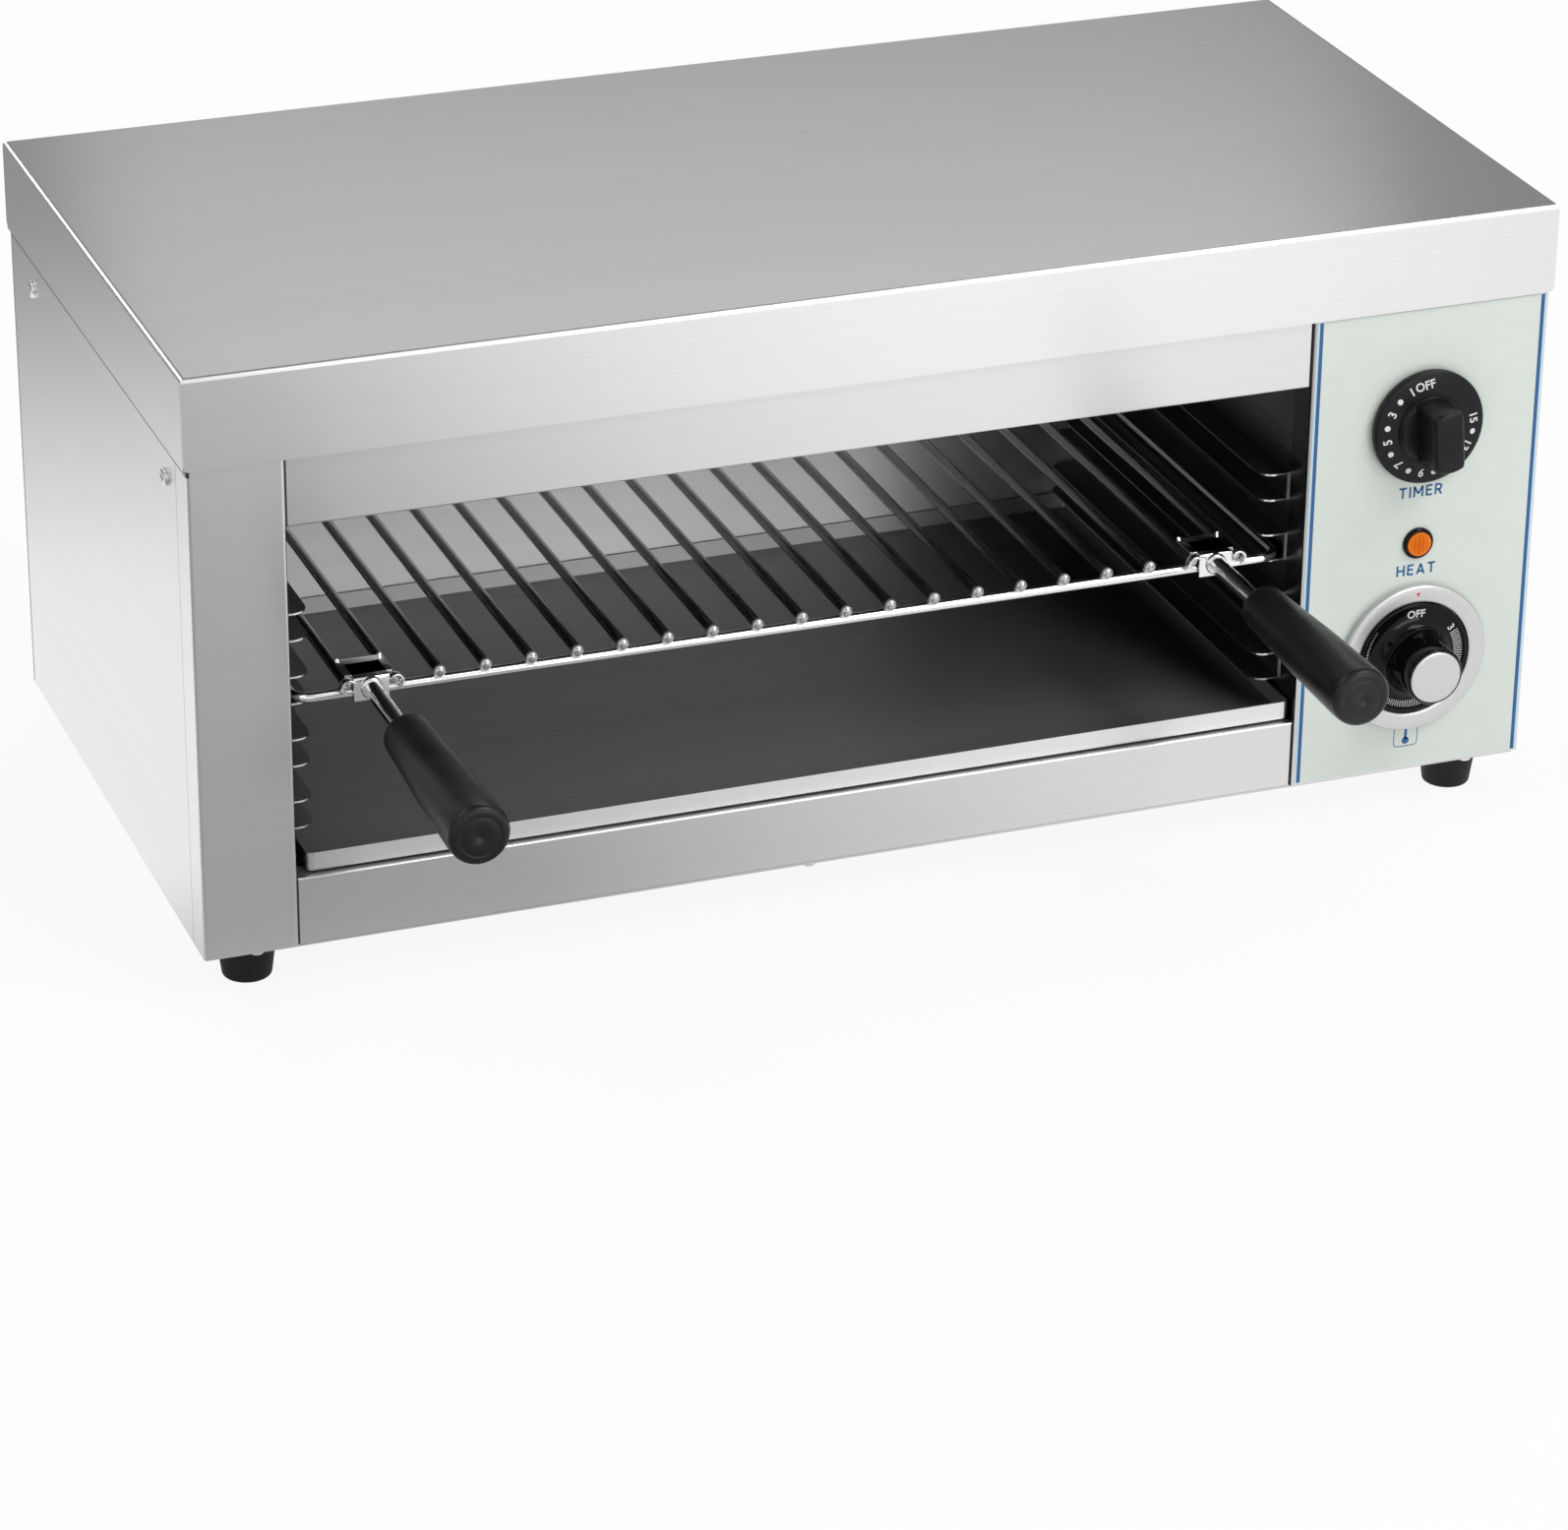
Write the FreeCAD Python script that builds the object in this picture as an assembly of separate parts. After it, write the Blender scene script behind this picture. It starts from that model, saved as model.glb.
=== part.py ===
import FreeCAD, Part
import os
from math import cos, radians, sin, tan

# Electric salamander grill for a counter, in millimetres.
# X runs to the right as the cook sees it, Y runs to the back, Z runs up.
# The origin lies on the counter, midway between the four feet.

os.makedirs("parts", exist_ok=True)
V = FreeCAD.Vector

# Driving dimensions of the casing
capWidth = 610.0
capDepth = 296.0
overallHeight = 280.0
skirtHeight = 40.0
bodyBottom = 20.0
sheet = 1.0
bendRadius = 1.5
skirtClearance = 0.3
panelTop = 262.0
pillarWidth = 40.7
controlPanelWidth = 111.7
fasciaRecess = 1.5
fasciaReturn = 11.0
frontFlange = 12.0
jambDepth = 16.2
upperFasciaBottom = 209.5
lowerFasciaTop = 50.8
flangeWidth = 17.0
rearReturn = 12.7

# Driving dimensions of the cooking cavity
cavityBack = 108.5
cavityFront = -134.0
ceilingHeight = 238.0
runnerCount = 4
runnerPitch = 28.5
topRunnerShelf = 150.7
runnerReach = 13.0
runnerSlot = 11.2
runnerSheet = 0.8
runnerFront = -127.0
runnerBack = 104.0
runnerNoseRadius = 7.0

# Driving dimensions of the rack, its handles and the crumb tray
rackCentre = -34.0
rackWidth = 450.0
rackFront = -129.0
rackBack = 96.0
wireRadius = 2.2
rackCornerRadius = 8.0
crossWireCount = 21
crossWirePitch = 20.1
crossWireFront = -132.5
gripFront = -280.0
gripBack = -181.0
gripFrontRadius = 13.2
gripBackRadius = 10.4
stemRadius = 3.75
stemHeight = 127.3
runningGap = 0.3
trayLeft = -257.5
trayRight = 191.5
trayFront = -142.5
trayBack = 107.6
trayFloor = 51.4
trayWallHeight = 8.8

# Driving dimensions of the controls
controlX = 247.0
timerZ = 186.0
lampZ = 130.0
thermostatZ = 76.0
overlayThickness = 0.4
shaftRadius = 3.0
dialRadius = 26.0
bezelRadius = 33.8
bezelBore = 26.6
lampRadius = 7.2
wingTilt = 5.0

# Driving dimensions of the heating elements
elementRadius = 4.0
elementHeight = 224.0
elementLegPitch = 56.0
elementLeft = -235.0
frontElementStart = -108.0
rearElementStart = 14.0

# Driving dimensions of the feet, the cable inlet and the fasteners
footX = 280.0
footY = 124.7
footTopRadius = 13.5
footBottomRadius = 10.5
glandX = 250.0
glandZ = 62.0
glandBore = 4.5
screwHeadRadius = 4.0
baseScrewHeadRadius = 3.1
screwHeadHeight = 1.8
baseScrewInset = 5.4
screwRadius = 2.0
screwHole = 2.1

# Places worked out from the driving dimensions
halfWidth = capWidth / 2
halfDepth = capDepth / 2
skirtBottom = overallHeight - skirtHeight
bodySide = halfWidth - sheet - skirtClearance
bodyFront = -halfDepth + sheet + skirtClearance
bodyBack = halfDepth - sheet - skirtClearance
pillarEdge = -bodySide + pillarWidth
panelEdge = bodySide - controlPanelWidth
fasciaFront = bodyFront + fasciaRecess
cavityLeft = pillarEdge + sheet
cavityRight = panelEdge + sheet
overlayFront = bodyFront - overlayThickness
wallBack = cavityBack + sheet
wireHeight = topRunnerShelf - runnerPitch + runningGap + wireRadius
crossWireHeight = wireHeight + 2 * wireRadius
crossWireBack = rackBack + wireRadius + 1.5
outerGap = (crossWireCount - 1) // 2
handleOffset = crossWirePitch * (outerGap - 0.5)


# Shape helpers

def block(xs, ys, zs):
    return Part.makeBox(xs[1] - xs[0], ys[1] - ys[0], zs[1] - zs[0], V(xs[0], ys[0], zs[0]))


def rod(start, end, radius):
    run = end - start
    return Part.makeCylinder(radius, run.Length, start, run)


def ring(start, end, outer, inner):
    run = end - start
    overrun = run * (1.0 / run.Length)
    return rod(start, end, outer).cut(rod(start - overrun, end + overrun, inner))


def roundedEdges(corners, radius):
    edges = []
    start = corners[0]
    for here, following in zip(corners[1:-1], corners[2:]):
        into = (here - start).normalize()
        out = (following - here).normalize()
        halfTurn = into.getAngle(out) / 2
        setback = radius * tan(halfTurn)
        first = here - into * setback
        last = here + out * setback
        middle = here + (out - into).normalize() * (radius / cos(halfTurn) - radius)
        edges.append(Part.LineSegment(start, first).toShape())
        edges.append(Part.Arc(first, middle, last).toShape())
        start = last
    edges.append(Part.LineSegment(start, corners[-1]).toShape())
    return edges


def tube(corners, radius, bend):
    path = Part.Wire(roundedEdges(corners, bend))
    direction = corners[1] - corners[0]
    section = Part.Wire(Part.makeCircle(radius, corners[0], direction))
    return path.makePipeShell([section], True, False)


def mitredTube(corners, radius):
    path = Part.makePolygon(corners)
    section = Part.Wire(Part.makeCircle(radius, corners[0], corners[1] - corners[0]))
    return path.makePipeShell([section], True, False, 1)


# A folded sheet: its outer line turns left at every bend and its thickness lies on the left.
def foldedSheet(corners, sweep, thickness=sheet, bend=bendRadius):
    axis = V(sweep).normalize()
    runs = [(b - a).normalize() for a, b in zip(corners, corners[1:])]
    lefts = [axis.cross(run) for run in runs]
    inner = [corners[0] + lefts[0] * thickness]
    for corner, left, nextLeft in zip(corners[1:-1], lefts, lefts[1:]):
        inner.append(corner + (left + nextLeft) * thickness)
    inner.append(corners[-1] + lefts[-1] * thickness)
    edges = roundedEdges(corners, bend)
    edges.append(Part.LineSegment(corners[-1], inner[-1]).toShape())
    edges.extend(roundedEdges(inner[::-1], bend - thickness))
    edges.append(Part.LineSegment(inner[0], corners[0]).toShape())
    return Part.Face(Part.Wire(Part.__sortEdges__(edges))).extrude(sweep)


def edgesWhere(shape, test):
    return [edge for edge in shape.Edges if test(edge.BoundBox)]


def flatIn(low, high, value):
    return abs(low - value) < 1e-3 and abs(high - value) < 1e-3


# A turned piece: the profile holds (radius, reach) points, and reach runs out of the panel.
def turned(profile, x, z, face=overlayFront):
    points = [V(x + radius, face - reach, z) for radius, reach in profile]
    outline = Part.makePolygon(points + [points[0]])
    return Part.Face(outline).revolve(V(x, 0, z), V(0, 1, 0), 360)


def hexPrism(start, end, acrossFlats):
    run = end - start
    corner = acrossFlats / 2 / cos(radians(30))
    side = V(0, 0, 1) if abs(run.z) < 0.5 * run.Length else V(1, 0, 0)
    points = []
    for step in range(7):
        turn = FreeCAD.Rotation(run, 60.0 * step)
        points.append(start + turn.multVec(side) * corner)
    return Part.Face(Part.makePolygon(points)).extrude(run)


def panHeadScrew(seat, outward, shank, headRadius=screwHeadRadius):
    shoulder = seat + outward * (screwHeadHeight * 0.4)
    head = rod(seat, shoulder, headRadius)
    crown = Part.makeCone(headRadius, headRadius * 0.75, screwHeadHeight * 0.6, shoulder, outward)
    head = head.fuse(crown)
    return head.fuse(rod(seat, seat - outward * shank, screwRadius)).removeSplitter()


def cutAll(shape, tools):
    return shape.cut(tools[0].multiFuse(tools[1:])) if len(tools) > 1 else shape.cut(tools[0])


def save(name, solids):
    pieces = solids if isinstance(solids, list) else [solids]
    bodies = [solid for piece in pieces for solid in piece.Solids]
    shape = bodies[0] if len(bodies) == 1 else Part.makeCompound(bodies)
    shape.exportStep("parts/" + name + ".step")


# Casing

def topCover():
    shell = block((-halfWidth, halfWidth), (-halfDepth, halfDepth), (skirtBottom, overallHeight))
    rim = edgesWhere(shell, lambda box: flatIn(box.ZMin, box.ZMax, overallHeight))
    shell = shell.makeFillet(2.0, rim)
    hollow = block((-halfWidth + sheet, halfWidth - sheet), (-halfDepth + sheet, halfDepth - sheet),
                   (skirtBottom - 1, overallHeight - sheet))
    seam = 0.3
    seamTop = overallHeight - 3.0
    seams = []
    for sideX in (-halfWidth, halfWidth - sheet):
        for seamY in (-halfDepth + sheet, halfDepth - sheet - seam):
            seams.append(block((sideX - 0.1, sideX + sheet + 0.1), (seamY, seamY + seam),
                               (skirtBottom - 1, seamTop)))
    shell = cutAll(shell.cut(hollow), seams)
    lowCorners = edgesWhere(shell, lambda box: flatIn(box.ZMin, box.ZMax, skirtBottom)
                            and abs(box.YLength - sheet) < 1e-3
                            and max(abs(box.XMin), abs(box.XMax)) > halfWidth - 0.01)
    return shell.makeFillet(2.5, lowCorners)


def coverTabs():
    tabs = []
    for side in (-1, 1):
        outer = side * (bodySide - sheet)
        inner = outer - side * sheet
        foot = outer - side * flangeWidth
        for y in sideScrewPlaces():
            leg = block(sorted((inner, outer)), (y - 14, y + 14), (214.0, overallHeight - sheet))
            top = block(sorted((foot, outer)), (y - 14, y + 14),
                        (overallHeight - 2 * sheet, overallHeight - sheet))
            hole = rod(V(outer + side, y, sideScrewHeight), V(inner - side, y, sideScrewHeight), screwHole)
            tabs.append(leg.fuse(top).removeSplitter().cut(hole))
    return tabs


sideScrewHeight = 225.0


def sideScrewPlaces():
    return (-114.0, 108.0)


def sideScrewHoles(side):
    return [rod(V(side * (bodySide + 1), y, sideScrewHeight), V(side * (bodySide - 5), y, sideScrewHeight),
                screwHole) for y in sideScrewPlaces()]


def leftSidePanel():
    corners = [V(-bodySide + rearReturn, bodyBack - sheet, bodyBottom),
               V(-bodySide, bodyBack - sheet, bodyBottom),
               V(-bodySide, bodyFront, bodyBottom),
               V(pillarEdge, bodyFront, bodyBottom),
               V(pillarEdge, bodyFront + jambDepth, bodyBottom)]
    panel = foldedSheet(corners, V(0, 0, panelTop - bodyBottom))
    inner = -bodySide + sheet / 2
    sideFlange = block((inner, -bodySide + flangeWidth), (bodyFront + 1.5, bodyBack - 1.5 * sheet),
                       (bodyBottom, bodyBottom + sheet))
    pillarFlange = block((inner, pillarEdge - sheet / 2), (bodyFront + sheet / 2, bodyFront + frontFlange),
                         (bodyBottom, bodyBottom + sheet))
    return cutAll(panel.multiFuse([sideFlange, pillarFlange]).removeSplitter(), sideScrewHoles(-1))


def rightSidePanel():
    front = bodyFront + jambDepth + 0.2
    corners = [V(bodySide, front, bodyBottom),
               V(bodySide, bodyBack - sheet, bodyBottom),
               V(bodySide - rearReturn, bodyBack - sheet, bodyBottom)]
    panel = foldedSheet(corners, V(0, 0, panelTop - bodyBottom))
    inner = bodySide - sheet
    joggle = block((inner - sheet, inner), (bodyFront + 4, front + 12), (bodyBottom + 3, 208.0))
    flange = block((bodySide - flangeWidth, inner + sheet / 2), (front, bodyBack - 1.5 * sheet),
                   (bodyBottom, bodyBottom + sheet))
    return cutAll(panel.multiFuse([joggle, flange]).removeSplitter(), sideScrewHoles(1))


def backPanel():
    panel = block((-bodySide, bodySide), (bodyBack - sheet, bodyBack), (bodyBottom, panelTop))
    cuts = [rod(V(glandX, bodyBack - 5, glandZ), V(glandX, bodyBack + 5, glandZ), 8.0)]
    for row in range(7):
        z = 120.0 + 11.0 * row
        cuts.append(block((212.0, 286.0), (bodyBack - 5, bodyBack + 5), (z - 2, z + 2)))
    for x, z in backScrewPlaces():
        cuts.append(rod(V(x, bodyBack - 5, z), V(x, bodyBack + 5, z), screwHole))
    return cutAll(panel, cuts)


def backScrewPlaces():
    side = bodySide - rearReturn / 2
    return [(x, z) for x in (-side, side) for z in (40.0, 130.0, 225.0)]


def bottomPanel():
    inset = 2.0
    plate = block((-bodySide + inset, bodySide - inset), (bodyFront + inset, bodyBack - inset),
                  (bodyBottom - sheet, bodyBottom))
    cuts = [rod(V(x, y, 0), V(x, y, 40), 2.6) for x, y in footPlaces()]
    cuts += [rod(V(x, y, 0), V(x, y, 40), screwHole) for x, y in baseScrewPlaces()]
    for row in range(6):
        y = -40.0 + 14.0 * row
        cuts.append(block((216.0, 276.0), (y - 2, y + 2), (0, 40)))
    return cutAll(plate, cuts)


def footPlaces():
    return [(x, y) for x in (-footX, footX) for y in (-footY, footY)]


def baseScrewPlaces():
    frontRow = bodyFront + baseScrewInset
    backRow = bodyBack - 8.0
    side = bodySide - 8.0
    front = [(x, frontRow) for x in (-footX, rackCentre, footX)]
    sides = [(x, y) for x in (-side, side) for y in (-98.0, 98.0)]
    return front + sides + [(x, backRow) for x in (-side, side)]


# A pan folded from sheet, open at the back, with rounded outer folds.
def fascia(xs, zs, front, depth, radius=0.8):
    pan = block(xs, (front, front + depth), zs)
    folds = edgesWhere(pan, lambda box: flatIn(box.YMin, box.YMax, front))
    pan = pan.makeFillet(radius, folds)
    return pan.cut(block((xs[0] + sheet, xs[1] - sheet), (front + sheet, front + depth + 1),
                         (zs[0] + sheet, zs[1] - sheet)))


def fasciaScrewHole(y, x):
    return rod(V(x, y, 0), V(x, y, 30), screwHole)


def upperFascia():
    return fascia((pillarEdge, panelEdge), (upperFasciaBottom, panelTop), fasciaFront, fasciaReturn)


def lowerFascia():
    pan = fascia((pillarEdge, panelEdge), (bodyBottom, lowerFasciaTop), fasciaFront, fasciaReturn)
    return pan.cut(fasciaScrewHole(bodyFront + baseScrewInset, rackCentre))


def drillFlanges(panel, side):
    holes = [rod(V(x, y, 0), V(x, y, 30), screwHole) for x, y in baseScrewPlaces() if x * side > 100]
    backHoles = [rod(V(x, bodyBack - 6, z), V(x, bodyBack + 1, z), screwHole)
                 for x, z in backScrewPlaces() if x * side > 0]
    return cutAll(panel, holes + backHoles)


def controlPanel():
    pan = fascia((panelEdge, bodySide), (bodyBottom, panelTop), bodyFront, jambDepth, bendRadius)
    drillings = [rod(V(controlX, bodyFront - 5, timerZ), V(controlX, bodyFront + 5, timerZ), 5.0),
                 rod(V(controlX, bodyFront - 5, thermostatZ), V(controlX, bodyFront + 5, thermostatZ), 5.0),
                 rod(V(controlX, bodyFront - 5, lampZ), V(controlX, bodyFront + 5, lampZ), 5.5),
                 fasciaScrewHole(bodyFront + baseScrewInset, footX),
                 block((panelEdge + sheet, bodySide - sheet), (bodyFront + frontFlange, bodyFront + jambDepth + 1),
                       (bodyBottom - 1, bodyBottom + 2))]
    return cutAll(pan, drillings)


def panelOverlay():
    film = block((panelEdge + 1.3, bodySide - 1.3), (overlayFront, bodyFront),
                 (bodyBottom + 1.5, skirtBottom - 0.6))
    drillings = [rod(V(controlX, overlayFront - 1, z), V(controlX, bodyFront + 1, z), radius)
                 for z, radius in ((timerZ, 5.0), (thermostatZ, 5.0), (lampZ, 5.5))]
    return cutAll(film, drillings)


# Cooking cavity

def leftInnerWall():
    return block((cavityLeft - sheet, cavityLeft), (cavityFront, wallBack), (bodyBottom, ceilingHeight))


def rightInnerWall():
    wall = block((cavityRight, cavityRight + sheet), (cavityFront, wallBack), (bodyBottom, ceilingHeight))
    corner = block((cavityRight - 1, cavityRight + 2), (cavityFront - 1, bodyFront + frontFlange + 0.1),
                   (bodyBottom - 1, bodyBottom + 1.1))
    holes = [rod(V(cavityRight - 1, y, elementHeight), V(cavityRight + 3, y, elementHeight), 5.0)
             for y in elementEnds()]
    holes.append(rod(V(cavityRight - 1, capillaryY, bulbZ), V(cavityRight + 3, capillaryY, bulbZ), 3.0))
    holes.append(corner)
    return cutAll(wall, holes)


def cavityBackWall():
    return block((cavityLeft, cavityRight), (cavityBack, wallBack), (bodyBottom, ceilingHeight))


def heatReflector():
    plate = block((cavityLeft - sheet, cavityRight + sheet), (cavityFront, wallBack),
                  (ceilingHeight, ceilingHeight + sheet))
    jamb = block((panelEdge - 0.1, cavityRight + 2), (cavityFront - 1, bodyFront + jambDepth + 0.1),
                 (ceilingHeight - 1, ceilingHeight + 2))
    return plate.cut(jamb)


def insulationSlab():
    slab = block((cavityLeft + 8, cavityRight - 8), (cavityFront + 10, cavityBack - 8),
                 (ceilingHeight + sheet, ceilingHeight + 22))
    upright = edgesWhere(slab, lambda box: box.ZLength > 10)
    return slab.makeChamfer(6.0, upright)


def shelfHeights():
    return [topRunnerShelf - runnerPitch * level for level in range(runnerCount)]


# One runner is a channel that opens towards the rack, with its shelf noses rounded in plan.
def runner(wall, reach, shelf):
    back = (min(wall, wall + reach), max(wall, wall + reach))
    channel = block(back, (runnerFront, runnerBack), (shelf - runnerSheet, shelf + runnerSlot + runnerSheet))
    tip = wall + reach
    noses = edgesWhere(channel, lambda box: flatIn(box.XMin, box.XMax, tip) and box.ZLength > 5)
    channel = channel.makeFillet(runnerNoseRadius, noses)
    web = runnerSheet if reach > 0 else -runnerSheet
    slotXs = sorted((wall + web, tip + web))
    return channel.cut(block(slotXs, (runnerFront - 1, runnerBack + 1), (shelf, shelf + runnerSlot)))


def leftRunners():
    return [runner(cavityLeft, runnerReach, shelf) for shelf in shelfHeights()]


def rightRunners():
    return [runner(cavityRight, -runnerReach, shelf) for shelf in shelfHeights()]


def trayRails():
    rails = []
    top = trayFloor - 0.2
    for wall, side in ((cavityLeft, 1), (cavityRight, -1)):
        front = bodyFront + jambDepth + 0.2
        ledge = block(sorted((wall, wall + side * 12)), (front, cavityBack), (top - sheet, top))
        leg = block(sorted((wall, wall + side * sheet)), (front, cavityBack), (top - 12, top))
        rails.append(ledge.fuse(leg).removeSplitter())
    return rails


# Heating elements

def elementEnds():
    return [start + leg for start in (frontElementStart, rearElementStart) for leg in (0, elementLegPitch)]


# A hairpin: two long legs joined by one wide turn at the left.
def heatingElement(start):
    tipX = cavityRight + 12
    back = start + elementLegPitch
    route = [V(tipX, start, elementHeight), V(elementLeft, start, elementHeight),
             V(elementLeft, back, elementHeight), V(tipX, back, elementHeight)]
    return tube(route, elementRadius, elementLegPitch / 2 - 0.01)


def elementCollars():
    collars = []
    for y in elementEnds():
        inner = ring(V(cavityRight - 1.6, y, elementHeight), V(cavityRight, y, elementHeight), 7.0, 4.05)
        nutStart = V(cavityRight + sheet, y, elementHeight)
        nutEnd = nutStart + V(4, 0, 0)
        nut = hexPrism(nutStart, nutEnd, 13.0).cut(rod(nutStart - V(1, 0, 0), nutEnd + V(1, 0, 0), 4.05))
        collars += [inner, nut]
    return collars


def elementTerminals():
    terminals = []
    for y in elementEnds():
        start = V(cavityRight + 12, y, elementHeight)
        ceramic = rod(start, start + V(8, 0, 0), 3.4)
        stud = rod(start + V(8, 0, 0), start + V(15, 0, 0), 1.8)
        terminals.append(ceramic.fuse(stud))
    return terminals


def elementHangers():
    hangers = []
    strapWidth = 8.0
    low = elementHeight - elementRadius - 1.1
    for start in (frontElementStart, rearElementStart):
        for x in (-150.0, 80.0):
            front = start - 9
            back = start + elementLegPitch + 9
            corners = [V(x, back, ceilingHeight), V(x, back, low), V(x, front, low), V(x, front, ceilingHeight)]
            hangers.append(foldedSheet(corners, V(-strapWidth, 0, 0)))
    return hangers


# Rack and handles

def rackFrame():
    left = rackCentre - rackWidth / 2 + wireRadius
    right = rackCentre + rackWidth / 2 - wireRadius
    halves = []
    for end in (left, right):
        route = [V(rackCentre, rackFront, wireHeight), V(end, rackFront, wireHeight),
                 V(end, rackBack, wireHeight), V(rackCentre, rackBack, wireHeight)]
        halves.append(tube(route, wireRadius, rackCornerRadius))
    return halves[0].fuse(halves[1]).removeSplitter()


def crossWires():
    wires = []
    for index in range(crossWireCount):
        x = rackCentre + crossWirePitch * (index - outerGap)
        wires.append(rod(V(x, crossWireFront, crossWireHeight), V(x, crossWireBack, crossWireHeight), wireRadius))
    return wires


# The clip lies on two neighbouring cross wires, and its ears curl round their front ends.
def handleBracket(x):
    plateBottom = crossWireHeight + wireRadius
    plateTop = plateBottom + sheet
    flangeBack = crossWireFront + 0.5
    flangeFront = flangeBack - sheet
    half = crossWirePitch / 2 - wireRadius - 0.2
    flangeBottom = wireHeight - wireRadius - 0.8
    nibWidth = 1.8
    plate = block((x - half - 3, x + half + 3), (rackFront - 0.5, -113.0), (plateBottom, plateTop))
    web = foldedSheet([V(x - half, -118.0, plateTop), V(x - half, flangeFront, plateTop),
                       V(x - half, flangeFront, flangeBottom)], V(2 * half, 0, 0))
    nibs = [block(sorted((x + side * (half + 3), x + side * (half + 3 - nibWidth))),
                  (-114.0, -113.0), (plateBottom, plateTop + 1.1)) for side in (-1, 1)]
    ears = []
    for side in (-1, 1):
        axis = x + side * crossWirePitch / 2
        front = V(axis, flangeFront - 2.4, crossWireHeight)
        back = V(axis, flangeBack + 0.3, crossWireHeight)
        curl = ring(front, back, wireRadius + 1.25, wireRadius + 0.25)
        mouth = block(sorted((axis, axis + side * 4)), (front.y - 1, back.y + 1),
                      (crossWireHeight - 5, crossWireHeight - 0.4))
        ears.append(curl.cut(mouth))
    boss = ring(V(x, flangeFront - 1.4, stemHeight), V(x, flangeFront + 0.2, stemHeight), stemRadius + 1.25, 2.0)
    bracket = plate.multiFuse([web, boss] + nibs + ears).removeSplitter()
    hole = rod(V(x, flangeFront - 5, stemHeight), V(x, flangeBack + 1, stemHeight), stemRadius + 0.05)
    return bracket.cut(hole)


def handleStem(x):
    back = crossWireFront + 0.5
    return rod(V(x, back, stemHeight), V(x, gripFront + 24, stemHeight), stemRadius)


# The grip is a turned plastic sleeve that swells towards its blunt front end.
def handleGrip(x):
    shoulder = 2.2
    lengths = ((gripBack, gripBackRadius - 1.2), (gripBack - 1.2, gripBackRadius),
               ((gripBack + gripFront) / 2, (gripBackRadius + gripFrontRadius) / 2 + 0.4),
               (gripFront + 2.5 * shoulder, gripFrontRadius), (gripFront + shoulder, gripFrontRadius - 0.6),
               (gripFront, gripFrontRadius - 1.6 * shoulder), (gripFront, 5.0), (gripFront + 0.9, 3.0),
               (gripFront + 0.9, 0))
    outline = [V(x, gripBack, stemHeight)] + [V(x + radius, y, stemHeight) for y, radius in lengths]
    sleeve = Part.Face(Part.makePolygon(outline + [outline[0]])).revolve(outline[0], V(0, 1, 0), 360)
    bore = rod(V(x, gripBack + 1, stemHeight), V(x, gripFront + 24, stemHeight), stemRadius + 0.02)
    return sleeve.cut(bore)


# Crumb tray

def crumbTray():
    pan = block((trayLeft, trayRight), (trayFront, trayBack), (trayFloor, trayFloor + trayWallHeight))
    upright = edgesWhere(pan, lambda box: box.ZLength > 5)
    pan = pan.makeFillet(3.0, upright)
    floorRim = edgesWhere(pan, lambda box: flatIn(box.ZMin, box.ZMax, trayFloor))
    pan = pan.makeFillet(1.5, floorRim)
    hollow = block((trayLeft + sheet, trayRight - sheet), (trayFront + sheet, trayBack - sheet),
                   (trayFloor + sheet, trayFloor + 20))
    hollow = hollow.makeFillet(2.0, edgesWhere(hollow, lambda box: box.ZLength > 5))
    return pan.cut(hollow)


# Timer

def timerBody():
    case = block((controlX - 25, controlX + 25), (bodyFront + sheet, bodyFront + 38), (timerZ - 25, timerZ + 25))
    case = case.makeChamfer(3.0, edgesWhere(case, lambda box: box.YLength > 30))
    spades = [block((controlX - 12 + 8 * index, controlX - 9 + 8 * index),
                    (bodyFront + 38, bodyFront + 46), (timerZ - 4, timerZ + 2.3)) for index in range(4)]
    bore = rod(V(controlX, bodyFront, timerZ), V(controlX, bodyFront + 20, timerZ), shaftRadius + 0.05)
    return case.multiFuse(spades).cut(bore)


def timerShaft():
    return rod(V(controlX, bodyFront + 18, timerZ), V(controlX, overlayFront - 17, timerZ), shaftRadius)


def timerDial():
    profile = [(9.0, 1.0), (dialRadius - 0.6, 1.0), (dialRadius, 1.6), (dialRadius, 2.8),
               (dialRadius - 0.6, 3.3), (15.6, 5.4), (9.0, 5.4)]
    return turned(profile, controlX, timerZ)


# The wing tapers in width and length from the hub to its face, and leans a few degrees.
def timerKnob():
    hub = turned([(0, 1.0), (8.9, 1.0), (8.9, 5.4), (15.6, 5.4), (15.0, 7.4), (13.6, 8.4), (0, 8.4)],
                 controlX, timerZ)
    sections = []
    for reach, halfSpan, halfThick in ((7.5, 15.0, 8.4), (11.5, 14.2, 6.6), (22.7, 11.9, 6.1), (23.5, 11.0, 5.4)):
        y = overlayFront - reach
        corners = [V(controlX - halfThick, y, timerZ - halfSpan), V(controlX + halfThick, y, timerZ - halfSpan),
                   V(controlX + halfThick, y, timerZ + halfSpan), V(controlX - halfThick, y, timerZ + halfSpan)]
        sections.append(Part.makePolygon(corners + [corners[0]]))
    wing = Part.makeLoft(sections, True, True)
    wing = wing.common(turned([(0, 6.0), (15.2, 6.0), (14.4, 12.0), (12.6, 24.0), (0, 24.0)], controlX, timerZ))
    bore = rod(V(controlX, overlayFront + 1, timerZ), V(controlX, overlayFront - 17, timerZ), shaftRadius + 0.02)
    knob = hub.fuse(wing).removeSplitter().cut(bore)
    knob.rotate(V(controlX, 0, timerZ), V(0, 1, 0), -wingTilt)
    return knob


# Thermostat

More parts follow.
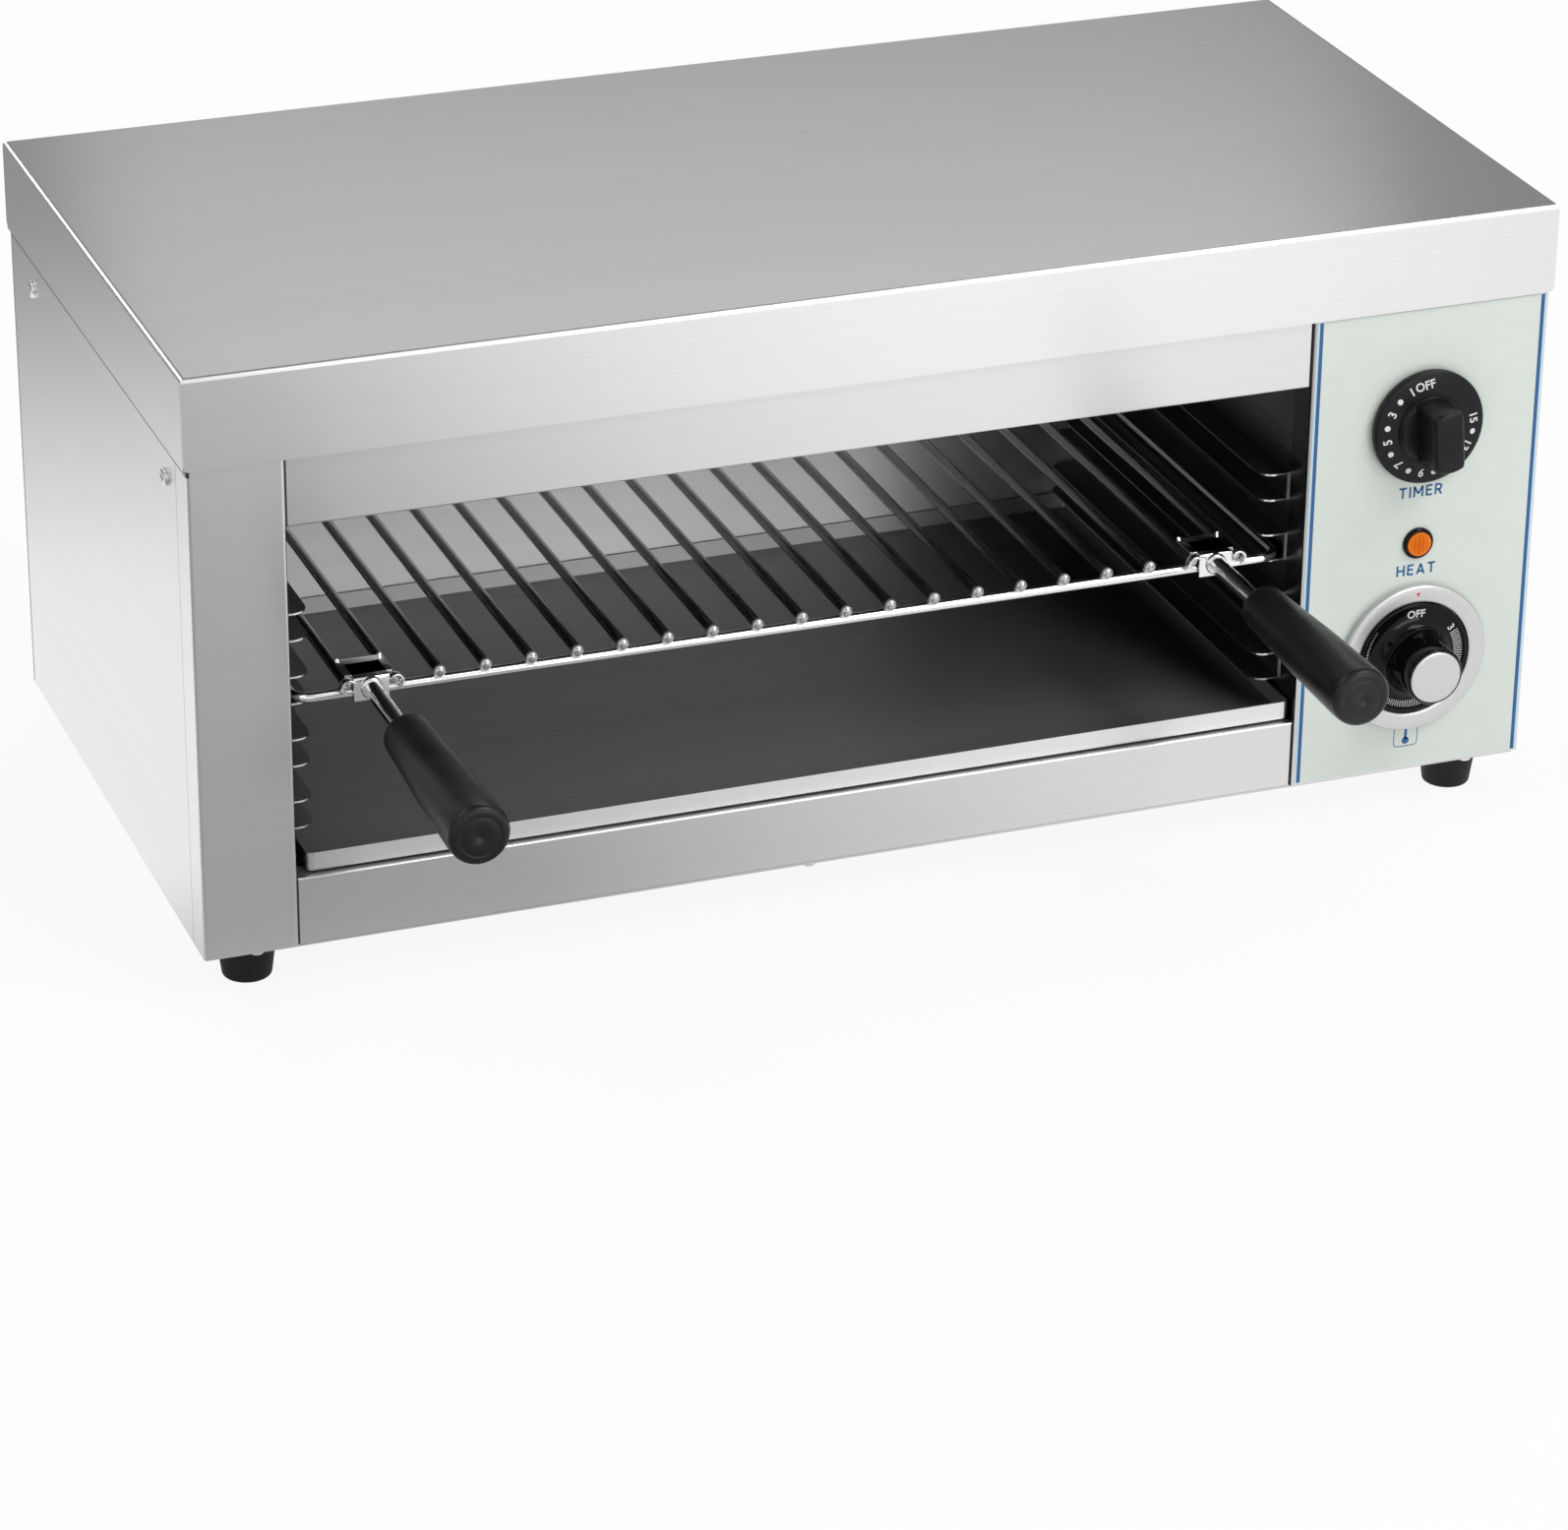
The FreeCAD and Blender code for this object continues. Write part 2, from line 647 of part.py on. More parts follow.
def thermostatBody():
    case = block((controlX - 20, controlX + 20), (bodyFront + sheet, bodyFront + 30),
                 (thermostatZ - 20, thermostatZ + 20))
    case = case.makeChamfer(2.0, edgesWhere(case, lambda box: box.YLength > 20))
    spades = [block((controlX - 11 + 10 * index, controlX - 8 + 10 * index),
                    (bodyFront + 30, bodyFront + 38), (thermostatZ - 10, thermostatZ - 3.7)) for index in range(3)]
    bore = rod(V(controlX, bodyFront, thermostatZ), V(controlX, bodyFront + 16, thermostatZ), shaftRadius + 0.05)
    return case.multiFuse(spades).cut(bore)


def thermostatShaft():
    return rod(V(controlX, bodyFront + 14, thermostatZ), V(controlX, overlayFront - 19, thermostatZ), shaftRadius)


def thermostatBezel():
    profile = [(bezelBore, 0), (bezelRadius, 0), (bezelRadius, 1.8), (bezelRadius - 0.5, 3.0),
               (bezelRadius - 1.6, 3.8), (bezelRadius - 3.0, 4.1), (bezelBore + 1.0, 3.4), (bezelBore, 2.8)]
    return turned(profile, controlX, thermostatZ)


def thermostatKnob():
    profile = [(0, 0.8), (26.2, 0.8), (26.2, 3.4), (24.4, 3.6), (24.0, 3.1), (19.4, 3.1),
               (16.0, 4.9), (14.4, 8.6), (13.4, 24.2), (12.6, 25.0), (11.65, 25.0), (11.65, 23.6), (0, 23.6)]
    bore = rod(V(controlX, overlayFront + 1, thermostatZ), V(controlX, overlayFront - 19, thermostatZ),
               shaftRadius + 0.02)
    return turned(profile, controlX, thermostatZ).cut(bore)


def thermostatCap():
    return turned([(0, 23.6), (11.5, 23.6), (11.5, 25.2), (11.1, 25.6), (0, 25.6)], controlX, thermostatZ)


bulbX = 187.5
bulbZ = 213.5
bulbRadius = 3.0
bulbFront = -10.0
bulbBack = 90.0
capillaryY = -46.0
capillaryRadius = 1.0


def thermostatBulb():
    return rod(V(bulbX, bulbFront, bulbZ), V(bulbX, bulbBack, bulbZ), bulbRadius)


def capillaryTube():
    level = thermostatZ + 12
    route = [V(bulbX, bulbFront, bulbZ), V(bulbX, capillaryY, bulbZ), V(210, capillaryY, bulbZ),
             V(210, capillaryY, level), V(210, bodyFront + 22, level), V(controlX - 20, bodyFront + 22, level)]
    return mitredTube(route, capillaryRadius)


def bulbClips():
    clips = []
    for y in (10.0, 70.0):
        start = V(bulbX, y, bulbZ)
        end = V(bulbX, y + 8, bulbZ)
        saddle = ring(start, end, bulbRadius + 0.85, bulbRadius + 0.05)
        tongue = block((bulbX + bulbRadius, cavityRight), (y, y + 8), (bulbZ - 1.6, bulbZ + 1.6))
        tongue = tongue.cut(rod(start - V(0, 1, 0), end + V(0, 1, 0), bulbRadius + 0.4))
        clips.append(saddle.fuse(tongue))
    return clips


# Pilot lamp

def lampHousing():
    flange = turned([(5.6, 0), (lampRadius, 0), (lampRadius, 1.2), (lampRadius - 0.7, 1.9), (5.6, 1.9)],
                    controlX, lampZ)
    barrel = ring(V(controlX, overlayFront - 0.4, lampZ), V(controlX, bodyFront + 22, lampZ), 5.4, 4.4)
    seat = ring(V(controlX, overlayFront - 0.4, lampZ), V(controlX, overlayFront, lampZ), 5.9, 4.4)
    clip = ring(V(controlX, bodyFront + sheet, lampZ), V(controlX, bodyFront + 4, lampZ), 8.0, 5.3)
    return flange.multiFuse([barrel, seat, clip]).removeSplitter()


def lampLens():
    return turned([(0, 0.4), (5.5, 0.4), (5.5, 1.6), (4.8, 2.4), (3.2, 2.9), (0, 3.1)], controlX, lampZ)


def lampCore():
    core = rod(V(controlX, bodyFront + 1, lampZ), V(controlX, bodyFront + 26, lampZ), 4.3)
    pins = [block((controlX + side * 2 - 0.4, controlX + side * 2 + 0.4), (bodyFront + 26, bodyFront + 32),
                  (lampZ - 1.5, lampZ + 1.5)) for side in (-1, 1)]
    return core.multiFuse(pins)


# Mains side

def terminalBlock():
    base = block((225.0, 270.0), (60.0, 82.0), (bodyBottom, bodyBottom + 18))
    cuts = []
    for index in range(3):
        x = 233.0 + 14.5 * index
        cuts.append(rod(V(x, 55, bodyBottom + 11), V(x, 90, bodyBottom + 11), 2.2))
        cuts.append(rod(V(x, 71, bodyBottom + 11), V(x, 71, bodyBottom + 20), 2.4))
    return cutAll(base, cuts)


def cableGland():
    outerFace = V(glandX, bodyBack, glandZ)
    innerFace = V(glandX, bodyBack - sheet, glandZ)
    flange = hexPrism(outerFace, outerFace + V(0, 5, 0), 22.0)
    domeStart = outerFace + V(0, 5, 0)
    dome = Part.makeCone(9.6, 7.2, 11.0, domeStart, V(0, 1, 0))
    thread = rod(innerFace - V(0, 10, 0), outerFace, 7.9)
    nut = hexPrism(innerFace - V(0, 5, 0), innerFace, 21.0)
    body = flange.multiFuse([dome, thread, nut]).removeSplitter()
    return body.cut(rod(innerFace - V(0, 20, 0), domeStart + V(0, 20, 0), glandBore))


def innerWiring():
    rear = 60.0
    front = bodyFront
    level = bodyBottom + 11
    routes = [
        [V(233, rear, level), V(233, 20, level), V(233, 20, 150), V(236.5, front + 46, 150),
         V(236.5, front + 46, timerZ - 4)],
        [V(247.5, rear, level), V(247.5, front + 60, level), V(247.5, front + 60, thermostatZ - 7),
         V(247.5, front + 38, thermostatZ - 7)],
        [V(262, rear, level), V(262, elementEnds()[-1], level), V(262, elementEnds()[-1], elementHeight),
         V(cavityRight + 27, elementEnds()[-1], elementHeight)],
    ]
    return [mitredTube(route, 1.4) for route in routes]


# Feet and fasteners

def rubberFeet():
    feet = []
    top = bodyBottom - sheet
    for x, y in footPlaces():
        heel = Part.makeCone(footBottomRadius - 1.6, footBottomRadius, 1.8, V(x, y, 0), V(0, 0, 1))
        foot = heel.fuse(Part.makeCone(footBottomRadius, footTopRadius, top - 1.8, V(x, y, 1.8), V(0, 0, 1)))
        pocket = rod(V(x, y, -1), V(x, y, 9), 5.0)
        feet.append(foot.cut(pocket).cut(rod(V(x, y, 0), V(x, y, 30), 2.6)))
    return feet


def footScrews():
    return [rod(V(x, y, 5.5), V(x, y, 9), 4.6).fuse(rod(V(x, y, 9), V(x, y, bodyBottom + 7), 2.5))
            for x, y in footPlaces()]


def footNuts():
    nuts = []
    for x, y in footPlaces():
        low = V(x, y, bodyBottom)
        nut = hexPrism(low, low + V(0, 0, 4), 8.0)
        nuts.append(nut.cut(rod(low - V(0, 0, 1), low + V(0, 0, 6), 2.52)))
    return nuts


def sideScrews():
    screws = []
    for side in (-1, 1):
        for y in sideScrewPlaces():
            screws.append(panHeadScrew(V(side * bodySide, y, sideScrewHeight), V(side, 0, 0), 7.0))
    return screws


def baseScrews():
    return [panHeadScrew(V(x, y, bodyBottom - sheet), V(0, 0, -1), 6.0, baseScrewHeadRadius)
            for x, y in baseScrewPlaces()]


def backScrews():
    return [panHeadScrew(V(x, bodyBack, z), V(0, 1, 0), 7.0) for x, z in backScrewPlaces()]


# Every piece under its own name

save("top_cover", topCover())
save("cover_tabs", coverTabs())
save("left_side_panel", drillFlanges(leftSidePanel(), -1))
save("right_side_panel", drillFlanges(rightSidePanel(), 1))
save("back_panel", backPanel())
save("bottom_panel", bottomPanel())
save("upper_fascia", upperFascia())
save("lower_fascia", lowerFascia())
save("control_panel", controlPanel())
save("panel_overlay", panelOverlay())
save("left_inner_wall", leftInnerWall())
save("right_inner_wall", rightInnerWall())
save("cavity_back_wall", cavityBackWall())
save("heat_reflector", heatReflector())
save("insulation_slab", insulationSlab())
save("left_runners", leftRunners())
save("right_runners", rightRunners())
save("tray_rails", trayRails())
save("front_heating_element", heatingElement(frontElementStart))
save("rear_heating_element", heatingElement(rearElementStart))
save("element_collars", elementCollars())
save("element_terminals", elementTerminals())
save("element_hangers", elementHangers())
save("rack_frame", rackFrame())
save("rack_cross_wires", crossWires())
for sideName, sign in (("left", -1), ("right", 1)):
    handleX = rackCentre + sign * handleOffset
    save(sideName + "_handle_bracket", handleBracket(handleX))
    save(sideName + "_handle_stem", handleStem(handleX))
    save(sideName + "_handle_grip", handleGrip(handleX))
save("crumb_tray", crumbTray())
save("timer_body", timerBody())
save("timer_shaft", timerShaft())
save("timer_dial", timerDial())
save("timer_knob", timerKnob())
save("thermostat_body", thermostatBody())
save("thermostat_shaft", thermostatShaft())
save("thermostat_bezel", thermostatBezel())
save("thermostat_knob", thermostatKnob())
save("thermostat_cap", thermostatCap())
save("thermostat_bulb", thermostatBulb())
save("capillary_tube", capillaryTube())
save("bulb_clips", bulbClips())
save("lamp_housing", lampHousing())
save("lamp_lens", lampLens())
save("lamp_core", lampCore())
save("terminal_block", terminalBlock())
save("cable_gland", cableGland())
save("inner_wiring", innerWiring())
save("rubber_feet", rubberFeet())
save("foot_screws", footScrews())
save("foot_nuts", footNuts())
save("side_screws", sideScrews())
save("base_screws", baseScrews())
save("back_screws", backScrews())
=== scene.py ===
from math import asin, cos, pi, radians, sin, sqrt

import bpy
import bmesh
from mathutils import Matrix, Vector


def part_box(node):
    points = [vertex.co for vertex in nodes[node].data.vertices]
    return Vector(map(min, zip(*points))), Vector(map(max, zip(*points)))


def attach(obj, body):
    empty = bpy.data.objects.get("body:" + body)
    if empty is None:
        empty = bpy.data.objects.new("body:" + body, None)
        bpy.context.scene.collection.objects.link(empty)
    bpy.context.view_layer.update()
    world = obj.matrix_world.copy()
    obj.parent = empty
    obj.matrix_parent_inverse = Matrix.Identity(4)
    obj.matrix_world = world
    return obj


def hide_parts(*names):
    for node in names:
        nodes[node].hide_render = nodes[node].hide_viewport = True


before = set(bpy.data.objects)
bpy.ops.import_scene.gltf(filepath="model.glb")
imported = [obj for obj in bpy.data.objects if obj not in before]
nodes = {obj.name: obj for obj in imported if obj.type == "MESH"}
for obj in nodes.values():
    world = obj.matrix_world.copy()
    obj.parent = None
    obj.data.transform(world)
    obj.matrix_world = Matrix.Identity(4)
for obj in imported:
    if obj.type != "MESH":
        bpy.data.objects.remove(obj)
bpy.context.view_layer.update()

# Counter salamander grill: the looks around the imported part. The pieces are worked out in
# millimetres; the floor, the lamps and the camera are in metres.

mm = 0.001
scene = bpy.context.scene


def boxOf(node):
    low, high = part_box(node)
    return low / mm, high / mm


def centreOf(node):
    low, high = boxOf(node)
    return (low + high) / 2


# Small tools for shader nodes

def addNode(tree, kind, **settings):
    node = tree.nodes.new(kind)
    for key, value in settings.items():
        setattr(node, key, value)
    return node


# Joins another socket to this one, or gives it a fixed value.
def feed(tree, socket, value):
    if isinstance(value, bpy.types.NodeSocket):
        tree.links.new(value, socket)
    elif value is not None:
        socket.default_value = value


def mathNode(tree, operation, first, second=None):
    node = addNode(tree, "ShaderNodeMath", operation=operation)
    feed(tree, node.inputs[0], first)
    feed(tree, node.inputs[1], second)
    return node.outputs[0]


def weightedSum(tree, *parts):
    total = None
    for value, weight in parts:
        share = mathNode(tree, "MULTIPLY", value, weight)
        total = share if total is None else mathNode(tree, "ADD", total, share)
    return total


def splitAxes(tree, vector):
    node = addNode(tree, "ShaderNodeSeparateXYZ")
    feed(tree, node.inputs[0], vector)
    return node.outputs


def noiseNode(tree, place, scale, detail=2.0, roughness=0.5):
    node = addNode(tree, "ShaderNodeTexNoise")
    for name, value in (("Vector", place), ("Scale", scale), ("Detail", detail), ("Roughness", roughness)):
        feed(tree, node.inputs[name], value)
    return node.outputs["Fac"]


# Blends two colours with kind RGBA, or two numbers with kind FLOAT.
def blend(tree, kind, factor, first, second):
    node = addNode(tree, "ShaderNodeMix", data_type=kind)
    for name, value in (("Factor", factor), ("A", first), ("B", second)):
        feed(tree, [s for s in node.inputs if s.name == name and s.enabled][0], value)
    return [s for s in node.outputs if s.enabled][0]


def stretchValue(tree, value, low, high, newLow, newHigh):
    node = addNode(tree, "ShaderNodeMapRange")
    for name, number in (("Value", value), ("From Min", low), ("From Max", high), ("To Min", newLow),
                         ("To Max", newHigh)):
        feed(tree, node.inputs[name], number)
    return node.outputs["Result"]


def newGroup(name, inputs, outputs):
    group = bpy.data.node_groups.new(name, "ShaderNodeTree")
    for label, kind, value in inputs:
        socket = group.interface.new_socket(label, in_out="INPUT", socket_type=kind)
        if value is not None:
            socket.default_value = value
    for label, kind in outputs:
        group.interface.new_socket(label, in_out="OUTPUT", socket_type=kind)
    return group, addNode(group, "NodeGroupInput").outputs, addNode(group, "NodeGroupOutput").inputs


def grey(value):
    return (value, value, value, 1)


# Effects shared by the materials

finishOutputs = [("Color", "NodeSocketColor"), ("Roughness", "NodeSocketFloat"),
                 ("Height", "NodeSocketFloat")]
grainLook = {"scratches": 2.2, "streaks": 0.34, "bands": 0.06, "cloud": 7.0, "contrast": (0.34, 0.66),
             "wear": (0.1, 0.9)}
skinLook = {"detail": 3.0, "patches": 55.0, "worn": (0.4, 0.7), "metalGrain": 700.0, "bumpDepth": 0.0001}
wearLook = {"patches": 260.0, "patchDepth": 0.03, "softness": 0.05}


# Brushed sheet: long fine scratches, wider streaks and a soft cloud over all of it.
def makeGrain():
    group, given, wanted = newGroup(
        "brushedGrain",
        [("Place", "NodeSocketVector", None), ("Stretch", "NodeSocketVector", (4.0, 4.0, 900.0)),
         ("Light Color", "NodeSocketColor", grey(0.6)), ("Dark Color", "NodeSocketColor", grey(0.5)),
         ("Smoothest", "NodeSocketFloat", 0.25), ("Roughest", "NodeSocketFloat", 0.4)], finishOutputs)
    stretched = addNode(group, "ShaderNodeVectorMath", operation="MULTIPLY")
    feed(group, stretched.inputs[0], given["Place"])
    feed(group, stretched.inputs[1], given["Stretch"])
    lines = stretched.outputs[0]
    height = weightedSum(group, (noiseNode(group, lines, grainLook["scratches"], 3.0, 0.6), 0.5),
                         (noiseNode(group, lines, grainLook["streaks"]), 0.3),
                         (noiseNode(group, lines, grainLook["bands"], 1.0), 0.2))
    tone = stretchValue(group, height, *grainLook["contrast"], 0.0, 1.0)
    worn = weightedSum(group, (tone, 0.6), (noiseNode(group, given["Place"], grainLook["cloud"]), 0.4))
    rough = stretchValue(group, worn, *grainLook["wear"], given["Roughest"], given["Smoothest"])
    feed(group, wanted["Color"], blend(group, "RGBA", tone, given["Dark Color"], given["Light Color"]))
    feed(group, wanted["Roughness"], rough)
    feed(group, wanted["Height"], height)
    return group


# Moulded skin: a fine even texture and broad dull patches from handling.
def makeSkin():
    group, given, wanted = newGroup(
        "mouldedSkin",
        [("Place", "NodeSocketVector", None), ("Grain Scale", "NodeSocketFloat", 1500.0),
         ("Color", "NodeSocketColor", grey(0.02)), ("Worn Color", "NodeSocketColor", grey(0.03)),
         ("Smoothest", "NodeSocketFloat", 0.35), ("Roughest", "NodeSocketFloat", 0.5)], finishOutputs)
    fine = noiseNode(group, given["Place"], given["Grain Scale"], skinLook["detail"])
    patches = noiseNode(group, given["Place"], skinLook["patches"], skinLook["detail"], 0.6)
    worn = stretchValue(group, patches, *skinLook["worn"], 0.0, 1.0)
    dull = weightedSum(group, (worn, 0.7), (fine, 0.3))
    rough = stretchValue(group, dull, 0.0, 1.0, given["Smoothest"], given["Roughest"])
    feed(group, wanted["Color"], blend(group, "RGBA", worn, given["Color"], given["Worn Color"]))
    feed(group, wanted["Roughness"], rough)
    feed(group, wanted["Height"], fine)
    return group


# Bright edges where a plating is rubbed.
def makeWear():
    group, given, wanted = newGroup(
        "rubbedEdges",
        [("Place", "NodeSocketVector", None), ("Color", "NodeSocketColor", grey(0.5)),
         ("Edge Color", "NodeSocketColor", grey(0.8)), ("Sharpness", "NodeSocketFloat", 0.52)],
        [("Color", "NodeSocketColor")])
    pointed = addNode(group, "ShaderNodeNewGeometry").outputs["Pointiness"]
    patchy = noiseNode(group, given["Place"], wearLook["patches"], 3.0, 0.6)
    edge = mathNode(group, "ADD", pointed, mathNode(group, "MULTIPLY", patchy, wearLook["patchDepth"]))
    high = mathNode(group, "ADD", given["Sharpness"], wearLook["softness"])
    mask = stretchValue(group, edge, given["Sharpness"], high, 0.0, 1.0)
    feed(group, wanted["Color"], blend(group, "RGBA", mask, given["Color"], given["Edge Color"]))
    return group


grainGroup = makeGrain()
skinGroup = makeSkin()
wearGroup = makeWear()


def startMaterial(name, **plain):
    material = bpy.data.materials.new(name)
    material.use_nodes = True
    tree = material.node_tree
    shader = tree.nodes["Principled BSDF"]
    for key, value in plain.items():
        shader.inputs[key].default_value = value
    return material, tree, shader, addNode(tree, "ShaderNodeTexCoord").outputs["Object"]


def placeGroup(tree, group, place, values):
    node = addNode(tree, "ShaderNodeGroup", node_tree=group)
    for key, value in {"Place": place, **values}.items():
        feed(tree, node.inputs[key], value)
    return node


def bumpFrom(tree, shader, height, strength, depth):
    bump = addNode(tree, "ShaderNodeBump")
    for key, value in (("Strength", strength), ("Distance", depth), ("Height", height)):
        feed(tree, bump.inputs[key], value)
    feed(tree, shader.inputs["Normal"], bump.outputs["Normal"])


# A mask that is 1 inside any of the boxes, given by their low and high corners.
def boxesMask(tree, place, boxes):
    along = splitAxes(tree, place)
    mask = 0.0
    for low, high in boxes:
        inside = 1.0
        for axis in range(3):
            above = mathNode(tree, "GREATER_THAN", along[axis], low[axis] * mm)
            below = mathNode(tree, "LESS_THAN", along[axis], high[axis] * mm)
            inside = mathNode(tree, "MULTIPLY", mathNode(tree, "MULTIPLY", above, below), inside)
        mask = mathNode(tree, "MAXIMUM", inside, mask)
    return mask


sheetLook = {"lengthwise": 3.0, "crosswise": 460.0, "tangent": (0.0, 0.05, 1.0), "square": 0.75, "bump": 0.01,
             "bumpDepth": 0.0002}
# Painted shade along the joints: how far it reaches under the skirt, beside the pillar and in the side seam,
# and its dark tone.
gapShadeLook = {"underSkirt": 3.0, "besidePillar": 0.9, "skin": 1.2, "sideSeam": 17.0, "seamWidth": 0.5,
           "past": 1.0, "tone": 0.09}


# Sheet with the grain lying level on every upright face, and along X on the flat ones. The faces
# along one axis, the flat ones unless another is named, may have a finish of their own. Inside the
# shaded gaps, boxes along the joints, the sheet is painted dark as shade.
def brushedSteel(name, light, dark, smoothest, roughest, spread=0.8, ownAxis="Z", ownFinish=None, shadedGaps=()):
    material, tree, shader, place = startMaterial(name, Metallic=1.0, Anisotropic=spread)
    tangent = addNode(tree, "ShaderNodeCombineXYZ")
    for index, value in enumerate(sheetLook["tangent"]):
        feed(tree, tangent.inputs[index], value)
    feed(tree, shader.inputs["Tangent"], tangent.outputs[0])
    length, width = sheetLook["lengthwise"], sheetLook["crosswise"]
    finish = (grey(light), grey(dark), smoothest, roughest)
    labels = ("Light Color", "Dark Color", "Smoothest", "Roughest")
    upright, flat = (placeGroup(tree, grainGroup, place, {**dict(zip(labels, values)), "Stretch": stretch})
                     for values, stretch in ((finish, (length, length, width)),
                                             (ownFinish or finish, (length, width, length))))
    facing = splitAxes(tree, addNode(tree, "ShaderNodeTexCoord").outputs["Normal"])
    lying = mathNode(tree, "GREATER_THAN", mathNode(tree, "ABSOLUTE", facing[ownAxis]), sheetLook["square"])
    color = blend(tree, "RGBA", lying, upright.outputs["Color"], flat.outputs["Color"])
    # Painted shade: the sheet turns dark inside the shaded gap boxes.
    if shadedGaps:
        color = blend(tree, "RGBA", boxesMask(tree, place, shadedGaps), color, grey(gapShadeLook["tone"]))
    rough, height = (blend(tree, "FLOAT", lying, upright.outputs[output], flat.outputs[output])
                     for output in ("Roughness", "Height"))
    feed(tree, shader.inputs["Base Color"], color)
    feed(tree, shader.inputs["Roughness"], rough)
    bumpFrom(tree, shader, height, sheetLook["bump"], sheetLook["bumpDepth"])
    return material


def mouldedPlastic(name, color, worn, smoothest, roughest, grain=1500.0, bump=0.15, shine=0.5):
    material, tree, shader, place = startMaterial(name, **{"Specular IOR Level": shine})
    skin = placeGroup(tree, skinGroup, place, {"Color": color, "Worn Color": worn, "Smoothest": smoothest,
                                               "Roughest": roughest, "Grain Scale": grain})
    feed(tree, shader.inputs["Base Color"], skin.outputs["Color"])
    feed(tree, shader.inputs["Roughness"], skin.outputs["Roughness"])
    bumpFrom(tree, shader, skin.outputs["Height"], bump, skinLook["bumpDepth"])
    return material


def platedMetal(name, color, edge, smoothest, roughest, bump=0.08):
    material, tree, shader, place = startMaterial(name, Metallic=1.0)
    wear = placeGroup(tree, wearGroup, place, {"Color": color, "Edge Color": edge})
    skin = placeGroup(tree, skinGroup, place, {"Smoothest": smoothest, "Roughest": roughest,
                                               "Grain Scale": skinLook["metalGrain"]})
    feed(tree, shader.inputs["Base Color"], wear.outputs["Color"])
    feed(tree, shader.inputs["Roughness"], skin.outputs["Roughness"])
    bumpFrom(tree, shader, skin.outputs["Height"], bump, skinLook["bumpDepth"])
    return material


sideLow, sideHigh = boxOf("left_side_panel")
rightEdge = boxOf("right_side_panel")[1].x
skirtBottom = boxOf("top_cover")[0].z
casingTop = boxOf("top_cover")[1].z


# Painted shade on a side panel: a dark band under the cover's skirt, and in the seam behind its front fold.
def sideGapShade(outer, inward):
    past = gapShadeLook["past"]
    near, far = sorted((outer - inward * past, outer + inward * gapShadeLook["skin"]))
    seam, below = sideLow.y + gapShadeLook["sideSeam"], skirtBottom - gapShadeLook["underSkirt"]
    return (((near, sideLow.y - past, below), (far, sideHigh.y + past, skirtBottom)),
            ((near, seam, sideLow.z), (far, seam + gapShadeLook["seamWidth"], skirtBottom)))


# Painted shade in the joint beside the pillar, on both fascias.
def fasciaGapShade():
    low = (sideHigh.x - gapShadeLook["past"], sideLow.y - gapShadeLook["past"], 0)
    return ((low, (sideHigh.x + gapShadeLook["besidePillar"], 0, casingTop)),)


steelLook = {
    "casing": brushedSteel("casingSteel", 0.74, 0.70, 0.272, 0.292),
    "leftSide": brushedSteel("leftSideSteel", 0.74, 0.70, 0.272, 0.292, shadedGaps=sideGapShade(sideLow.x, 1)),
    "rightSide": brushedSteel("rightSideSteel", 0.74, 0.70, 0.272, 0.292, shadedGaps=sideGapShade(rightEdge, -1)),
    "fascia": brushedSteel("fasciaSteel", 0.68, 0.64, 0.272, 0.292, shadedGaps=fasciaGapShade()),
    # The control panel's faces along X are painted nearly black: painted shade on its side faces beside the
    # mouth.
    "panel": brushedSteel("panelSteelShadedFlanks", 0.74, 0.70, 0.272, 0.292, ownAxis="X",
                          ownFinish=(grey(0.10), grey(0.07), 0.20, 0.30)),
    # The cavity's back wall is a lighter copy of the casing steel: painted light.
    "litCavity": brushedSteel("litCavitySteel", 0.90, 0.86, 0.40, 0.47, 0.95),
    # One tray steel in two tones: upright faces lighter, the floor faces painted dark as painted shade.
    "tray": brushedSteel("traySteelShadedFloor", 0.60, 0.57, 0.36, 0.40, 0.95,
                         ownFinish=(grey(0.22), grey(0.19), 0.31, 0.36)),
    # Runners: their sides are painted dark as shade, and their ends along Y painted bright as highlights.
    "runner": brushedSteel("runnerSteelShadeAndHighlight", 0.20, 0.15, 0.25, 0.36, ownAxis="Y",
                           ownFinish=(grey(0.90), grey(0.84), 0.30, 0.42)),
    "back": brushedSteel("backSteel", 0.60, 0.52, 0.30, 0.45),
    # The inner walls, heat reflector and tray rails are a dark copy of the steel: painted shade.
    "inner": brushedSteel("shadowInnerSteel", 0.20, 0.15, 0.25, 0.36),
}
